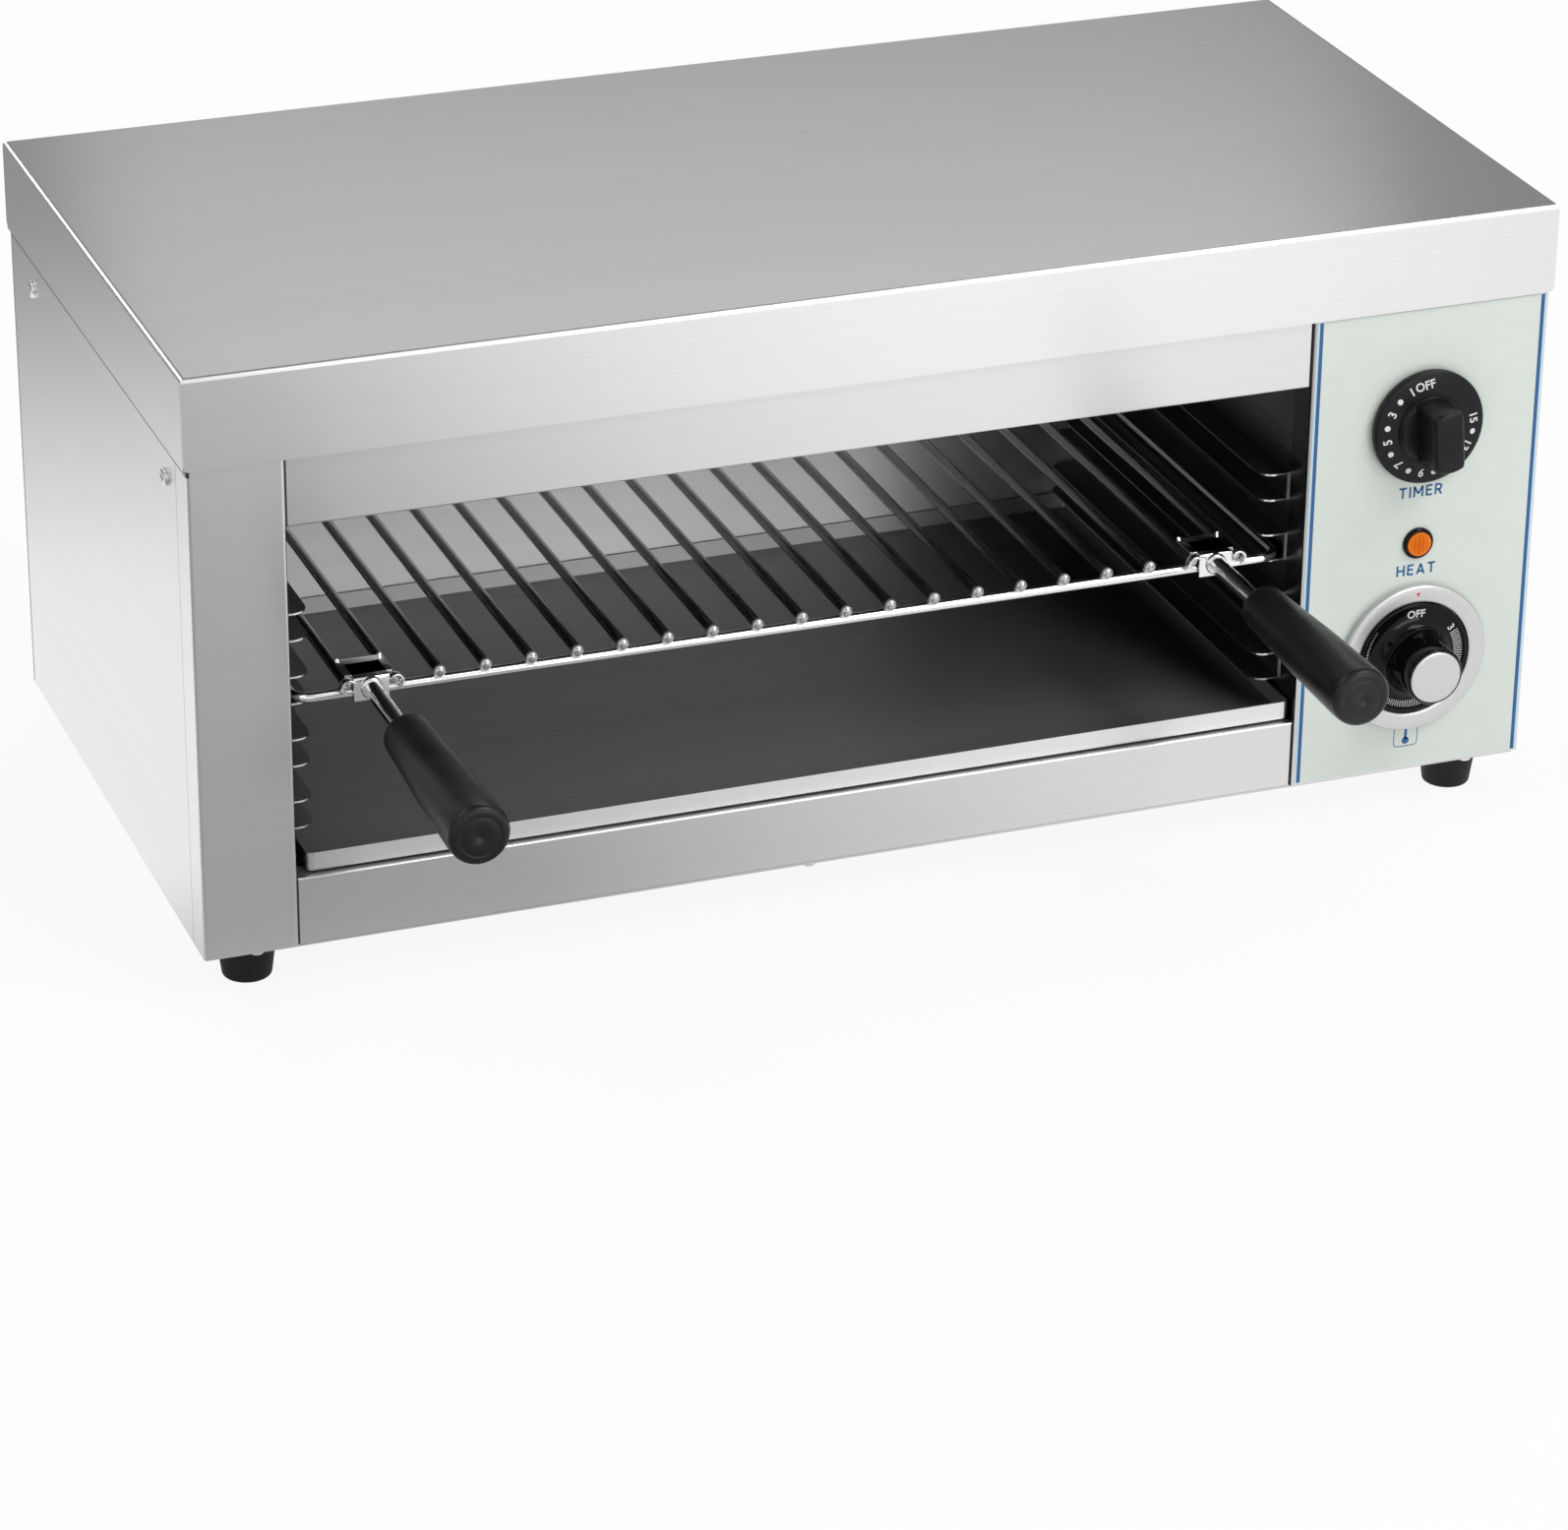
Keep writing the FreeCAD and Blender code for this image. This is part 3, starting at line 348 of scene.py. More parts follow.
plasticLook = {
    "grip": mouldedPlastic("gripPlastic", grey(0.007), grey(0.011), 0.32, 0.42, 900.0, 0.25, 0.34),
    "dial": mouldedPlastic("dialPlastic", (0.006, 0.006, 0.008, 1), (0.008, 0.008, 0.010, 1), 0.26, 0.38,
                           1600.0, 0.10, 0.22),
    "knobGloss": mouldedPlastic("knobGloss", (0.002, 0.002, 0.003, 1), (0.003, 0.003, 0.004, 1), 0.05, 0.10,
                                1200.0, 0.02, 0.18),
    "works": mouldedPlastic("worksPlastic", grey(0.06), grey(0.09), 0.40, 0.60),
    "rubber": mouldedPlastic("footRubber", grey(0.006), grey(0.011), 0.55, 0.75, 1300.0, 0.3, 0.25),
    "film": mouldedPlastic("panelFilm", (0.66, 0.72, 0.67, 1), (0.68, 0.74, 0.69, 1), 0.12, 0.18,
                           300.0, 0.01),
    "print": mouldedPlastic("printBlue", (0.015, 0.10, 0.27, 1), (0.02, 0.12, 0.30, 1), 0.14, 0.22,
                            900.0, 0.02),
    "paleLine": mouldedPlastic("palePrint", (0.50, 0.70, 0.84, 1), (0.54, 0.73, 0.86, 1), 0.14, 0.22,
                               900.0, 0.02),
    "figure": mouldedPlastic("figureWhite", grey(0.75), grey(0.68), 0.35, 0.5),
    "mark": mouldedPlastic("markRed", (0.62, 0.03, 0.02, 1), (0.55, 0.04, 0.03, 1), 0.3, 0.45),
    "ceramic": mouldedPlastic("ceramicWhite", (0.72, 0.68, 0.58, 1), (0.6, 0.56, 0.47, 1), 0.2, 0.35),
    "fibre": mouldedPlastic("fibreSlab", (0.72, 0.70, 0.60, 1), (0.60, 0.58, 0.50, 1), 0.85, 0.95,
                            420.0, 0.9),
    "lead": mouldedPlastic("leadSleeve", (0.35, 0.05, 0.03, 1), (0.30, 0.06, 0.04, 1), 0.45, 0.6),
}
metalLook = {
    "chrome": platedMetal("chromeWire", grey(0.78), grey(0.88), 0.08, 0.20),
    # A darker copy of the chrome for the cross wires: painted shade.
    "shadedChrome": platedMetal("shadedChromeWire", grey(0.34), grey(0.50), 0.10, 0.24),
    # A lighter copy of the chrome for the wire ends and welds: painted highlights.
    "highlightTips": platedMetal("paintedHighlightTips", grey(0.92), grey(0.95), 0.45, 0.58),
    "bezel": platedMetal("satinSilver", grey(0.63), grey(0.72), 0.36, 0.48),
    "zinc": platedMetal("zincScrew", (0.58, 0.58, 0.57, 1), grey(0.8), 0.25, 0.42),
    "element": platedMetal("elementSheath", (0.13, 0.12, 0.11, 1), (0.28, 0.26, 0.24, 1), 0.45, 0.65, 0.3),
    "copper": platedMetal("copperTube", (0.62, 0.30, 0.18, 1), (0.80, 0.48, 0.33, 1), 0.25, 0.4),
}


def amberLens():
    material, tree, shader, place = startMaterial(
        "lampAmber", **{"IOR": 1.49, "Coat Weight": 0.15, "Coat Roughness": 0.08, "Specular IOR Level": 0.2,
                        "Emission Strength": 0.22})
    skin = placeGroup(tree, skinGroup, place, {
        "Color": (0.74, 0.19, 0.002, 1), "Worn Color": (0.60, 0.13, 0.001, 1), "Smoothest": 0.12,
        "Roughest": 0.25, "Grain Scale": 500.0})
    for socket, output in (("Base Color", "Color"), ("Emission Color", "Color"), ("Roughness", "Roughness")):
        feed(tree, shader.inputs[socket], skin.outputs[output])
    return material


lampFinish = amberLens()
print("materials are ready")


# Small tools for meshes

# Makes a piece from what build adds to an empty mesh, and puts it on its body. Where a node is
# named, the piece takes its place.
def showPiece(name, build, material, body, sharp=32, node=None):
    work = bmesh.new()
    build(work)
    bmesh.ops.remove_doubles(work, verts=work.verts, dist=0.002)
    bmesh.ops.recalc_face_normals(work, faces=work.faces)
    bmesh.ops.scale(work, vec=(mm, mm, mm), verts=work.verts)
    mesh = bpy.data.meshes.new(name)
    work.to_mesh(mesh)
    work.free()
    mesh.materials.append(material)
    mesh.shade_smooth()
    mesh.set_sharp_from_angle(angle=radians(sharp))
    piece = bpy.data.objects.new(name, mesh)
    scene.collection.objects.link(piece)
    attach(piece, body)
    if node:
        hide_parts(node)


# Rounds the corners of an open line of 2-D points, all by one radius.
def roundedLine(points, radius, steps=5):
    result = [points[0]]
    for before, here, after in zip(points, points[1:], points[2:]):
        corner, into, out = Vector(here), Vector(before) - Vector(here), Vector(after) - Vector(here)
        reach = min(radius, into.length * 0.49, out.length * 0.49)
        first, last = corner + into.normalized() * reach, corner + out.normalized() * reach
        for step in range(steps + 1):
            t = step / steps
            result.append(tuple(first * (1 - t) ** 2 + corner * 2 * t * (1 - t) + last * t ** 2))
    result.append(points[-1])
    return result


# A direction and the two directions square to it.
def axesOf(direction):
    axis = Vector(direction).normalized()
    side = axis.cross(Vector((0, 0, 1)) if abs(axis.z) < 0.9 else Vector((1, 0, 0))).normalized()
    return axis, side, axis.cross(side)


# Adds the faces between rings of points; a ring of one point is a tip.
def joinRings(work, rings):
    for first, second in zip(rings, rings[1:]):
        steps = max(len(first), len(second))
        for step in range(steps):
            follow = (step + 1) % steps
            corners = list(dict.fromkeys((first[step % len(first)], first[follow % len(first)],
                                          second[follow % len(second)], second[step % len(second)])))
            if len(corners) > 2:
                work.faces.new(corners)


# Adds a turned form. The profile holds (radius, along); start and direction place its axis.
def addTurned(work, profile, start, direction, steps=48):
    axis, side, other = axesOf(direction)
    rings = []
    for radius, along in profile:
        centre = Vector(start) + axis * along
        angles = [2 * pi * step / steps for step in range(steps)] if radius > 1e-6 else [0.0]
        rings.append([work.verts.new(centre + side * (radius * cos(angle)) + other * (radius * sin(angle)))
                      for angle in angles])
    joinRings(work, rings)


# Adds a round bar along a line that comes back to its start, so it has no ends.
def addBar(work, points, radius, steps):
    points = [Vector(p) for p in points]
    side = (points[1] - points[0]).cross(Vector((0, 0, 1))).normalized()
    rings = []
    for index, point in enumerate(points):
        ahead = points[min(index + 1, len(points) - 1)] - point
        behind = point - points[max(index - 1, 0)]
        run = (ahead.normalized() + behind.normalized()).normalized()
        side = (side - run * side.dot(run)).normalized()
        other = run.cross(side)
        rings.append([work.verts.new(point + side * (radius * cos(2 * pi * s / steps))
                                     + other * (radius * sin(2 * pi * s / steps))) for s in range(steps)])
    joinRings(work, rings)


# Adds a plate: an outline of points pushed along a direction, with bevelled rims.
def addPlate(work, outline, push, bevel):
    start = [work.verts.new(Vector(p)) for p in outline]
    grown = bmesh.ops.extrude_face_region(work, geom=[work.faces.new(start)])
    moved = [v for v in grown["geom"] if isinstance(v, bmesh.types.BMVert)]
    bmesh.ops.translate(work, verts=moved, vec=Vector(push))
    edges = dict.fromkeys(e for v in start + moved for e in v.link_edges)
    rims = [e for e in edges if e.is_valid and len(e.link_faces) == 2 and e.calc_face_angle(0) > radians(50)]
    bmesh.ops.bevel(work, geom=rims, offset=bevel, segments=2, profile=0.5, affect="EDGES",
                    clamp_overlap=True)


# The boxes of a node's separate solids, from the left.
def islandsOf(node):
    mesh = nodes[node].data
    links = list(range(len(mesh.vertices)))

    def rootOf(index):
        while links[index] != index:
            links[index] = links[links[index]]
            index = links[index]
        return index

    places = {}
    for index, vertex in enumerate(mesh.vertices):
        key = tuple(round(c, 5) for c in vertex.co)
        links[rootOf(index)] = rootOf(places.setdefault(key, index))
    for edge in mesh.edges:
        links[rootOf(edge.vertices[0])] = rootOf(edge.vertices[1])
    groups = {}
    for index, vertex in enumerate(mesh.vertices):
        groups.setdefault(rootOf(index), []).append(vertex.co / mm)
    boxes = [(Vector([min(p[axis] for p in points) for axis in range(3)]),
              Vector([max(p[axis] for p in points) for axis in range(3)])) for points in groups.values()]
    return sorted(boxes, key=lambda box: tuple(round(c, 1) for c in box[0]))


# CAD nodes that stay, with their finishes

keptFinish = {
    "casing": ("top_cover",),
    "leftSide": ("left_side_panel",),
    "rightSide": ("right_side_panel",),
    "fascia": ("upper_fascia", "lower_fascia"),
    "panel": ("control_panel",),
    "film": ("panel_overlay",),
    "back": ("back_panel", "bottom_panel", "cover_tabs"),
    "litCavity": ("cavity_back_wall",),
    "inner": ("left_inner_wall", "right_inner_wall", "heat_reflector", "tray_rails"),
    "runner": ("left_runners", "right_runners"),
    "tray": ("crumb_tray",),
    "element": ("front_heating_element", "rear_heating_element"),
    "chrome": ("left_handle_stem", "right_handle_stem"),
    "zinc": ("element_hangers", "element_collars", "bulb_clips", "foot_screws", "foot_nuts", "timer_shaft",
             "thermostat_shaft"),
    "copper": ("thermostat_bulb", "capillary_tube"),
    "works": ("timer_body", "thermostat_body", "lamp_core", "terminal_block", "cable_gland"),
    "ceramic": ("element_terminals",),
    "fibre": ("insulation_slab",),
    "lead": ("inner_wiring",),
}
allLooks = {**steelLook, **plasticLook, **metalLook}
for look, names in keptFinish.items():
    for name in names:
        nodes[name].data.materials.clear()
        nodes[name].data.materials.append(allLooks[look])
print("kept nodes have their finishes")


# Rack: frame, cross wires with their welds, brackets and grips

frameLow, frameHigh = boxOf("rack_frame")
wireRadius = (frameHigh.z - frameLow.z) / 2
rackLook = {"cornerRadius": 8.0, "tipLength": 1.2, "domeDepth": 1.7, "capLength": 2.6, "capGrowth": 0.3,
            "capSeat": 0.2, "weldWidth": 2.5, "weldHeight": 1.4, "sides": 20}


def arcPoints(centre, radius, first, height, steps=10):
    angles = [radians(first + 90 * s / steps) for s in range(steps + 1)]
    return [(centre[0] + radius * cos(a), centre[1] + radius * sin(a), height) for a in angles]


def rackFrame():
    turn = rackLook["cornerRadius"]
    left, right = frameLow.x + wireRadius + turn, frameHigh.x - wireRadius - turn
    front, back = frameLow.y + wireRadius + turn, frameHigh.y - wireRadius - turn
    corners = (((right, front), -90), ((right, back), 0), ((left, back), 90), ((left, front), 180))
    points = [p for centre, first in corners
              for p in arcPoints(centre, turn, first, (frameLow.z + frameHigh.z) / 2)]
    points.append(points[0])
    showPiece("rackFrame", lambda work: addBar(work, points, wireRadius, rackLook["sides"]),
              metalLook["chrome"], "rack", 60, "rack_frame")


def weldBead(work, x, y, z):
    width, height = rackLook["weldWidth"], rackLook["weldHeight"]
    profile = [(width * sin(radians(a)), -height * cos(radians(a))) for a in range(0, 181, 20)]
    profile[0], profile[-1] = (0, -height), (0, height)
    addTurned(work, profile, (x, y, z), (0, 0, 1), 16)


def crossWires():
    wires = islandsOf("rack_cross_wires")
    wire, tip = wireRadius, rackLook["tipLength"]
    shell, capLength, depth = wire + rackLook["capGrowth"], rackLook["capLength"], rackLook["domeDepth"]
    cap = [(wire - rackLook["capSeat"], capLength), (shell, capLength)]
    cap += [(shell * cos(radians(a)), depth * (1 - sin(radians(a)))) for a in range(0, 90, 15)] + [(0, 0)]

    def build(work):
        for low, high in wires:
            length = high.y - low.y
            near = [(0, 0), (wire - tip, 0), (wire - tip * 0.3, tip * 0.3), (wire, tip), (wire, length / 3)]
            profile = near + [(radius, length - along) for radius, along in near[::-1]]
            addTurned(work, profile, ((low.x + high.x) / 2, low.y, (low.z + high.z) / 2), (0, 1, 0),
                      rackLook["sides"])
    # The cross wires take the darker chrome: painted shade.
    showPiece("rackCrossWires", build, metalLook["shadedChrome"], "rack", 60, "rack_cross_wires")

    def ends(work):
        for low, high in wires:
            x, z = (low.x + high.x) / 2, (low.z + high.z) / 2
            for y, inward in ((low.y, 1), (high.y, -1)):
                placed = [(radius, inward * along) for radius, along in cap]
                addTurned(work, placed, (x, y, z), (0, 1, 0), rackLook["sides"])
            for y in (frameLow.y + wire, frameHigh.y - wire):
                weldBead(work, x, y, low.z)
    # The wire ends and weld beads take the lighter chrome: painted highlights.
    showPiece("rackWireEnds", ends, metalLook["highlightTips"], "rack", 60)


rackFrame()
crossWires()

bracketLook = {"sheet": 1.0, "halfWidth": 7.65, "plateHalf": 10.65, "plateStart": 2.6, "plateCorner": 2.0,
               "strapEnd": 5.0, "bend": 1.6, "seat": 0.5, "rim": 0.2, "earRadius": 3.5, "earLength": 3.6,
               "earLead": 2.2, "earInset": 0.5, "nibInset": 1.4, "nibHalf": 0.8, "nibRise": 0.9,
               "nibRoot": 0.3, "nibLength": 1.0, "nibRim": 0.3, "boss": 1.25, "bossHeight": 1.6,
               "bossSides": 32, "play": 0.05}


def handleBracket(side):
    look = bracketLook
    low, high = boxOf(side + "_handle_bracket")
    stemLow, stemHigh = boxOf(side + "_handle_stem")
    x, stemZ = (stemLow.x + stemHigh.x) / 2, (stemLow.z + stemHigh.z) / 2
    wireLow, wireHigh = boxOf("rack_cross_wires")
    sheet, plateHalf = look["sheet"], look["plateHalf"]
    top = wireHigh.z + sheet
    flangeBack = wireLow.y + look["seat"]
    flangeFront = flangeBack - sheet

    # The strap that comes down in front of the wires, the plate on top of them, and between the
    # two the ears; the nibs stand at the plate's back.
    def build(work):
        strapEnd = high.y - look["strapEnd"]
        outer = roundedLine([(strapEnd, top), (flangeFront, top), (flangeFront, low.z)], look["bend"], 6)
        inner = roundedLine([(strapEnd, top - sheet), (flangeBack, top - sheet), (flangeBack, low.z)],
                            look["bend"] - sheet, 4)
        outline = [(x - look["halfWidth"], y, z) for y, z in outer + inner[::-1]]
        addPlate(work, outline, (2 * look["halfWidth"], 0, 0), look["rim"])
        plateFront = flangeBack + look["plateStart"]
        left, right = x - plateHalf, x + plateHalf
        line = [(x, plateFront), (right, plateFront), (right, high.y), (left, high.y), (left, plateFront),
                (x, plateFront)]
        plate = [(u, v, top - sheet) for u, v in roundedLine(line, look["plateCorner"], 4)[:-1]]
        addPlate(work, plate, (0, 0, sheet), look["rim"])
        for sign in (-1, 1):
            curlEar(work, x + sign * (plateHalf - look["earInset"]), sign, flangeFront - look["earLead"],
                    (wireLow.z + wireHigh.z) / 2)
            nibX, back = x + sign * (plateHalf - look["nibInset"]), high.y - look["nibLength"]
            foot, crown = top - look["nibRoot"], top + look["nibRise"]
            nib = [(nibX - look["nibHalf"], back, foot), (nibX + look["nibHalf"], back, foot),
                   (nibX + look["nibHalf"], back, crown), (nibX - look["nibHalf"], back, crown)]
            addPlate(work, nib, (0, look["nibLength"], 0), look["nibRim"])
        stemRadius = (stemHigh.x - stemLow.x) / 2
        bore, boss, rise = stemRadius + look["play"], stemRadius + look["boss"], look["bossHeight"]
        addTurned(work, [(bore, 0.2), (bore, rise), (bore + 0.5, rise), (boss - 0.25, 1.2), (boss, 0.5),
                         (boss, -0.2)], (x, flangeFront, stemZ), (0, -1, 0), look["bossSides"])
    showPiece(side + "HandleBracket", build, metalLook["chrome"], "rack", 40,
              side + "_handle_bracket")


# An ear of the bracket, curled round the end of a cross wire, open below on its outer side.
def curlEar(work, x, sign, front, height):
    outer = bracketLook["earRadius"]
    first, last = (150, -70) if sign > 0 else (30, 250)
    steps = 16
    outline = []
    for radius, order in ((outer, range(steps + 1)), (outer - bracketLook["sheet"], range(steps, -1, -1))):
        for step in order:
            angle = radians(first + (last - first) * step / steps)
            outline.append((x + radius * cos(angle), front, height + radius * sin(angle)))
    addPlate(work, outline, (0, bracketLook["earLength"], 0), bracketLook["rim"])


gripLook = {"neckShare": 0.79, "heelRadius": 3.6, "noseRadius": 3.4, "bore": 3.8, "boreDepth": 40.0,
            "boreChamfer": (0.5, 0.6), "groove": ((0.70, 0.66, 0.62, 0.58), 0.25),
            "dimple": (0.12, 0.08, 0.5, 0.7), "sides": 64}


def handleGrip(side):
    low, high = boxOf(side + "_handle_grip")
    place = ((low.x + high.x) / 2, high.y, (low.z + high.z) / 2)
    length = high.y - low.y
    big = (high.x - low.x) / 2
    small = big * gripLook["neckShare"]
    bore, (chamfer, sunk) = gripLook["bore"], gripLook["boreChamfer"]
    flank = [(bore + chamfer, 0), (small - 0.3, 0), (small + 0.2, length * 0.16),
             ((big + small) / 2 + 0.5, length * 0.52)]
    heel = roundedLine(flank, gripLook["heelRadius"], 8)
    nose = roundedLine([flank[-1], (big, length * 0.93), (big - 0.4, length), (0, length)],
                       gripLook["noseRadius"], 10)[1:-1]
    shares, depth = gripLook["groove"]
    face = [(big * share, length - sink) for share, sink in zip(shares, (0, depth, depth, 0))]
    rim, floor, edgeSink, middleSink = gripLook["dimple"]
    face += [(big * rim, length), (big * floor, length - edgeSink), (0, length - middleSink)]

    def build(work):
        tube = [(bore, sunk), (bore - 0.03, gripLook["boreDepth"])]
        for profile in (tube[:1] + heel + nose + face, tube):
            addTurned(work, profile, place, (0, -1, 0), gripLook["sides"])
    showPiece(side + "HandleGrip", build, plasticLook["grip"], "rack", 50,
              side + "_handle_grip")


for makeSide in (handleBracket, handleGrip):
    for side in ("left", "right"):
        makeSide(side)
print("rack is dressed")


# Lettering and marks

letterLook = {"sizeOverHeight": 0.72, "weight": 0.03, "smoothness": 3, "sunkShare": 0.4}


# A word in Blender's own plain font, as flat points about its middle and their faces.
def letterMesh(word, height):
    curve = bpy.data.curves.new("lettering", "FONT")
    curve.body = word
    curve.size = height / letterLook["sizeOverHeight"]
    curve.align_x = "CENTER"
    curve.align_y = "CENTER"
    curve.offset = letterLook["weight"] * height
    curve.resolution_u = letterLook["smoothness"]
    holder = bpy.data.objects.new("lettering", curve)
    scene.collection.objects.link(holder)
    graph = bpy.context.evaluated_depsgraph_get()
    mesh = bpy.data.meshes.new_from_object(holder.evaluated_get(graph))
    bpy.data.objects.remove(holder)
    points = [tuple(v.co) for v in mesh.vertices]
    faces = [tuple(p.vertices) for p in mesh.polygons]
    middle = (min(p[1] for p in points) + max(p[1] for p in points)) / 2
    bpy.data.meshes.remove(mesh)
    return [(u, v - middle) for u, v, _ in points], faces


# Lays flat (u, v) shapes on a face: turn is counter-clockwise from the top, lift gives the
# face's reach out of the panel at a radius.
def layMark(work, points, faces, centre, radius, turn, lift, thickness=0.06):
    angle = radians(turn)
    layers = []
    for extra in (0.0, thickness):
        ring = []
        for u, v in points:
            dx = u * cos(angle) - (radius + v) * sin(angle)
            dz = u * sin(angle) + (radius + v) * cos(angle)
            reach = lift(sqrt(dx * dx + dz * dz)) + extra - thickness * letterLook["sunkShare"]
            ring.append(work.verts.new((centre[0] + dx, centre[1] - reach, centre[2] + dz)))
        layers.append(ring)
    rims = {}
    for face in faces:
        work.faces.new([layers[1][i] for i in face])
        work.faces.new([layers[0][i] for i in reversed(face)])
        for a, b in zip(face, face[1:] + face[:1]):
            key = (min(a, b), max(a, b))
            rims[key] = None if key in rims else (a, b)
    for a, b in filter(None, rims.values()):
        work.faces.new((layers[0][a], layers[0][b], layers[1][b], layers[1][a]))


# Plain block letters as centre lines, in parts of their height: each has a width and its lines.
blockLetters = {
    "T": (0.72, ([(0, 0.925), (0.72, 0.925)], [(0.36, 0.925), (0.36, 0)])),
    "I": (0.15, ([(0.075, 0), (0.075, 1)],)),
    "M": (0.92, ([(0.075, 0), (0.075, 1)], [(0.08, 0.94), (0.46, 0.3)], [(0.46, 0.3), (0.84, 0.94)],
                 [(0.845, 0), (0.845, 1)])),
    "E": (0.60, ([(0.075, 0), (0.075, 1)], [(0.15, 0.925), (0.6, 0.925)], [(0.15, 0.52), (0.55, 0.52)],
                 [(0.15, 0.075), (0.6, 0.075)])),
    "R": (0.68, ([(0.075, 0), (0.075, 1)], [(0.15, 0.925), (0.6, 0.925), (0.6, 0.46), (0.15, 0.46)],
                 [(0.36, 0.46), (0.62, 0)])),
    "H": (0.76, ([(0.075, 0), (0.075, 1)], [(0.685, 0), (0.685, 1)], [(0.15, 0.5), (0.61, 0.5)])),
    "A": (0.82, ([(0.075, 0), (0.41, 0.96)], [(0.41, 0.96), (0.745, 0)], [(0.2, 0.28), (0.62, 0.28)])),
}


# A line drawn as strips of one width; its corners are rounded.
def stripShapes(line, width, corner):
    shapes = []
    points = roundedLine(line, corner) if len(line) > 2 else line
    for (u, v), (u2, v2) in zip(points, points[1:]):
        run = Vector((u2 - u, v2 - v)).normalized() * (width / 2)
        shapes.append(([(u - run.y, v + run.x), (u + run.y, v - run.x), (u2 + run.y, v2 - run.x),
                        (u2 - run.y, v2 + run.x)], [(0, 1, 2, 3)]))
    return shapes


def blockWord(word, height, thick, gap, corner):
    start = -(sum(blockLetters[letter][0] for letter in word) + gap * (len(word) - 1)) / 2
    shapes = []
    for letter in word:
        width, lines = blockLetters[letter]
        for line in lines:
            placed = [((start + u) * height, (v - 0.5) * height) for u, v in line]
            shapes += stripShapes(placed, thick * height, corner * height)
        start += width + gap
    return shapes


def rectangle(width, height):
    u, v = width / 2, height / 2
    return [(-u, -v), (u, -v), (u, v), (-u, v)], [(0, 1, 2, 3)]


def disc(radius, steps=20):
    angles = [2 * pi * s / steps for s in range(steps)]
    return [(radius * cos(a), radius * sin(a)) for a in angles], [tuple(range(steps))]


# Print on the control panel's film

filmLow, filmHigh = boxOf("panel_overlay")
panelX = centreOf("timer_shaft").x
timerZ = centreOf("timer_dial").z
lampZ = centreOf("lamp_lens").z
thermostatZ = centreOf("thermostat_bezel").z
printLook = {"stripeWidth": 1.75, "stripeInset": 1.0, "paleWidth": 0.8, "endGap": 0.4, "wordHeight": 5.1,
             "stroke": 0.19, "letterGap": 0.25, "letterCorner": 0.22, "timerWordDrop": 31.6,
             "heatWordDrop": 12.7, "signDrop": 34.0, "boxWidth": 11.4, "boxHeight": 10.4, "boxCorner": 2.0,
             "lineWidth": 0.4, "stem": (1.4, 5.0), "stemShare": 0.44, "bulbRadius": 1.75, "bulbShare": 0.74,
             "thickness": 0.05}


def panelPrint():
    look = printLook
    middle, height = (filmLow.z + filmHigh.z) / 2, filmHigh.z - filmLow.z - look["endGap"]

    def put(work, shape, x, z):
        layMark(work, *shape, (x, filmLow.y, z), 0.0, 0.0, lambda radius: 0.0, look["thickness"])

    def build(work):
        edge = look["stripeInset"] + look["stripeWidth"] / 2
        for x in (filmLow.x + edge, filmHigh.x - edge):
            put(work, rectangle(look["stripeWidth"], height), x, middle)
        letters = [look[key] for key in ("wordHeight", "stroke", "letterGap", "letterCorner")]
        for word, z in (("TIMER", timerZ - look["timerWordDrop"]), ("HEAT", lampZ - look["heatWordDrop"])):
            for shape in blockWord(word, *letters):
                put(work, shape, panelX, z)
        half, depth, boxTop = look["boxWidth"] / 2, look["boxHeight"], thermostatZ - look["signDrop"]
        box = [(-half, 0), (-half, -depth), (half, -depth), (half, 0)]
        for shape in stripShapes(box, look["lineWidth"], look["boxCorner"]):
            put(work, shape, panelX, boxTop)
        put(work, rectangle(*look["stem"]), panelX, boxTop - depth * look["stemShare"])
        put(work, disc(look["bulbRadius"]), panelX, boxTop - depth * look["bulbShare"])
    showPiece("panelPrint", build, plasticLook["print"], "casing")

    def paleLines(work):
        edge = look["stripeInset"] / 2
        for x in (filmLow.x + edge, filmHigh.x - edge):
            put(work, rectangle(look["paleWidth"], height), x, middle)
    showPiece("paleLines", paleLines, plasticLook["paleLine"], "casing")


panelPrint()


# Timer

timerLook = {"figureRadius": 20.6, "figureHeight": 3.9, "dotRadius": 1.3, "dotRing": 20.8, "rimShare": 0.74,
             "rimFall": 0.9, "topShare": 0.62, "edge": 0.6, "extraReach": 0.9, "corner": 0.5, "sides": 96}
timerMarks = {10: "OFF", 28.5: "1", 65: "3", 101: "5", 136: "7", 171: "9", 205.5: "11", 240.5: "13",
              277: "15"}
timerDots = (47, 83, 118, 153, 188, 224, 259)


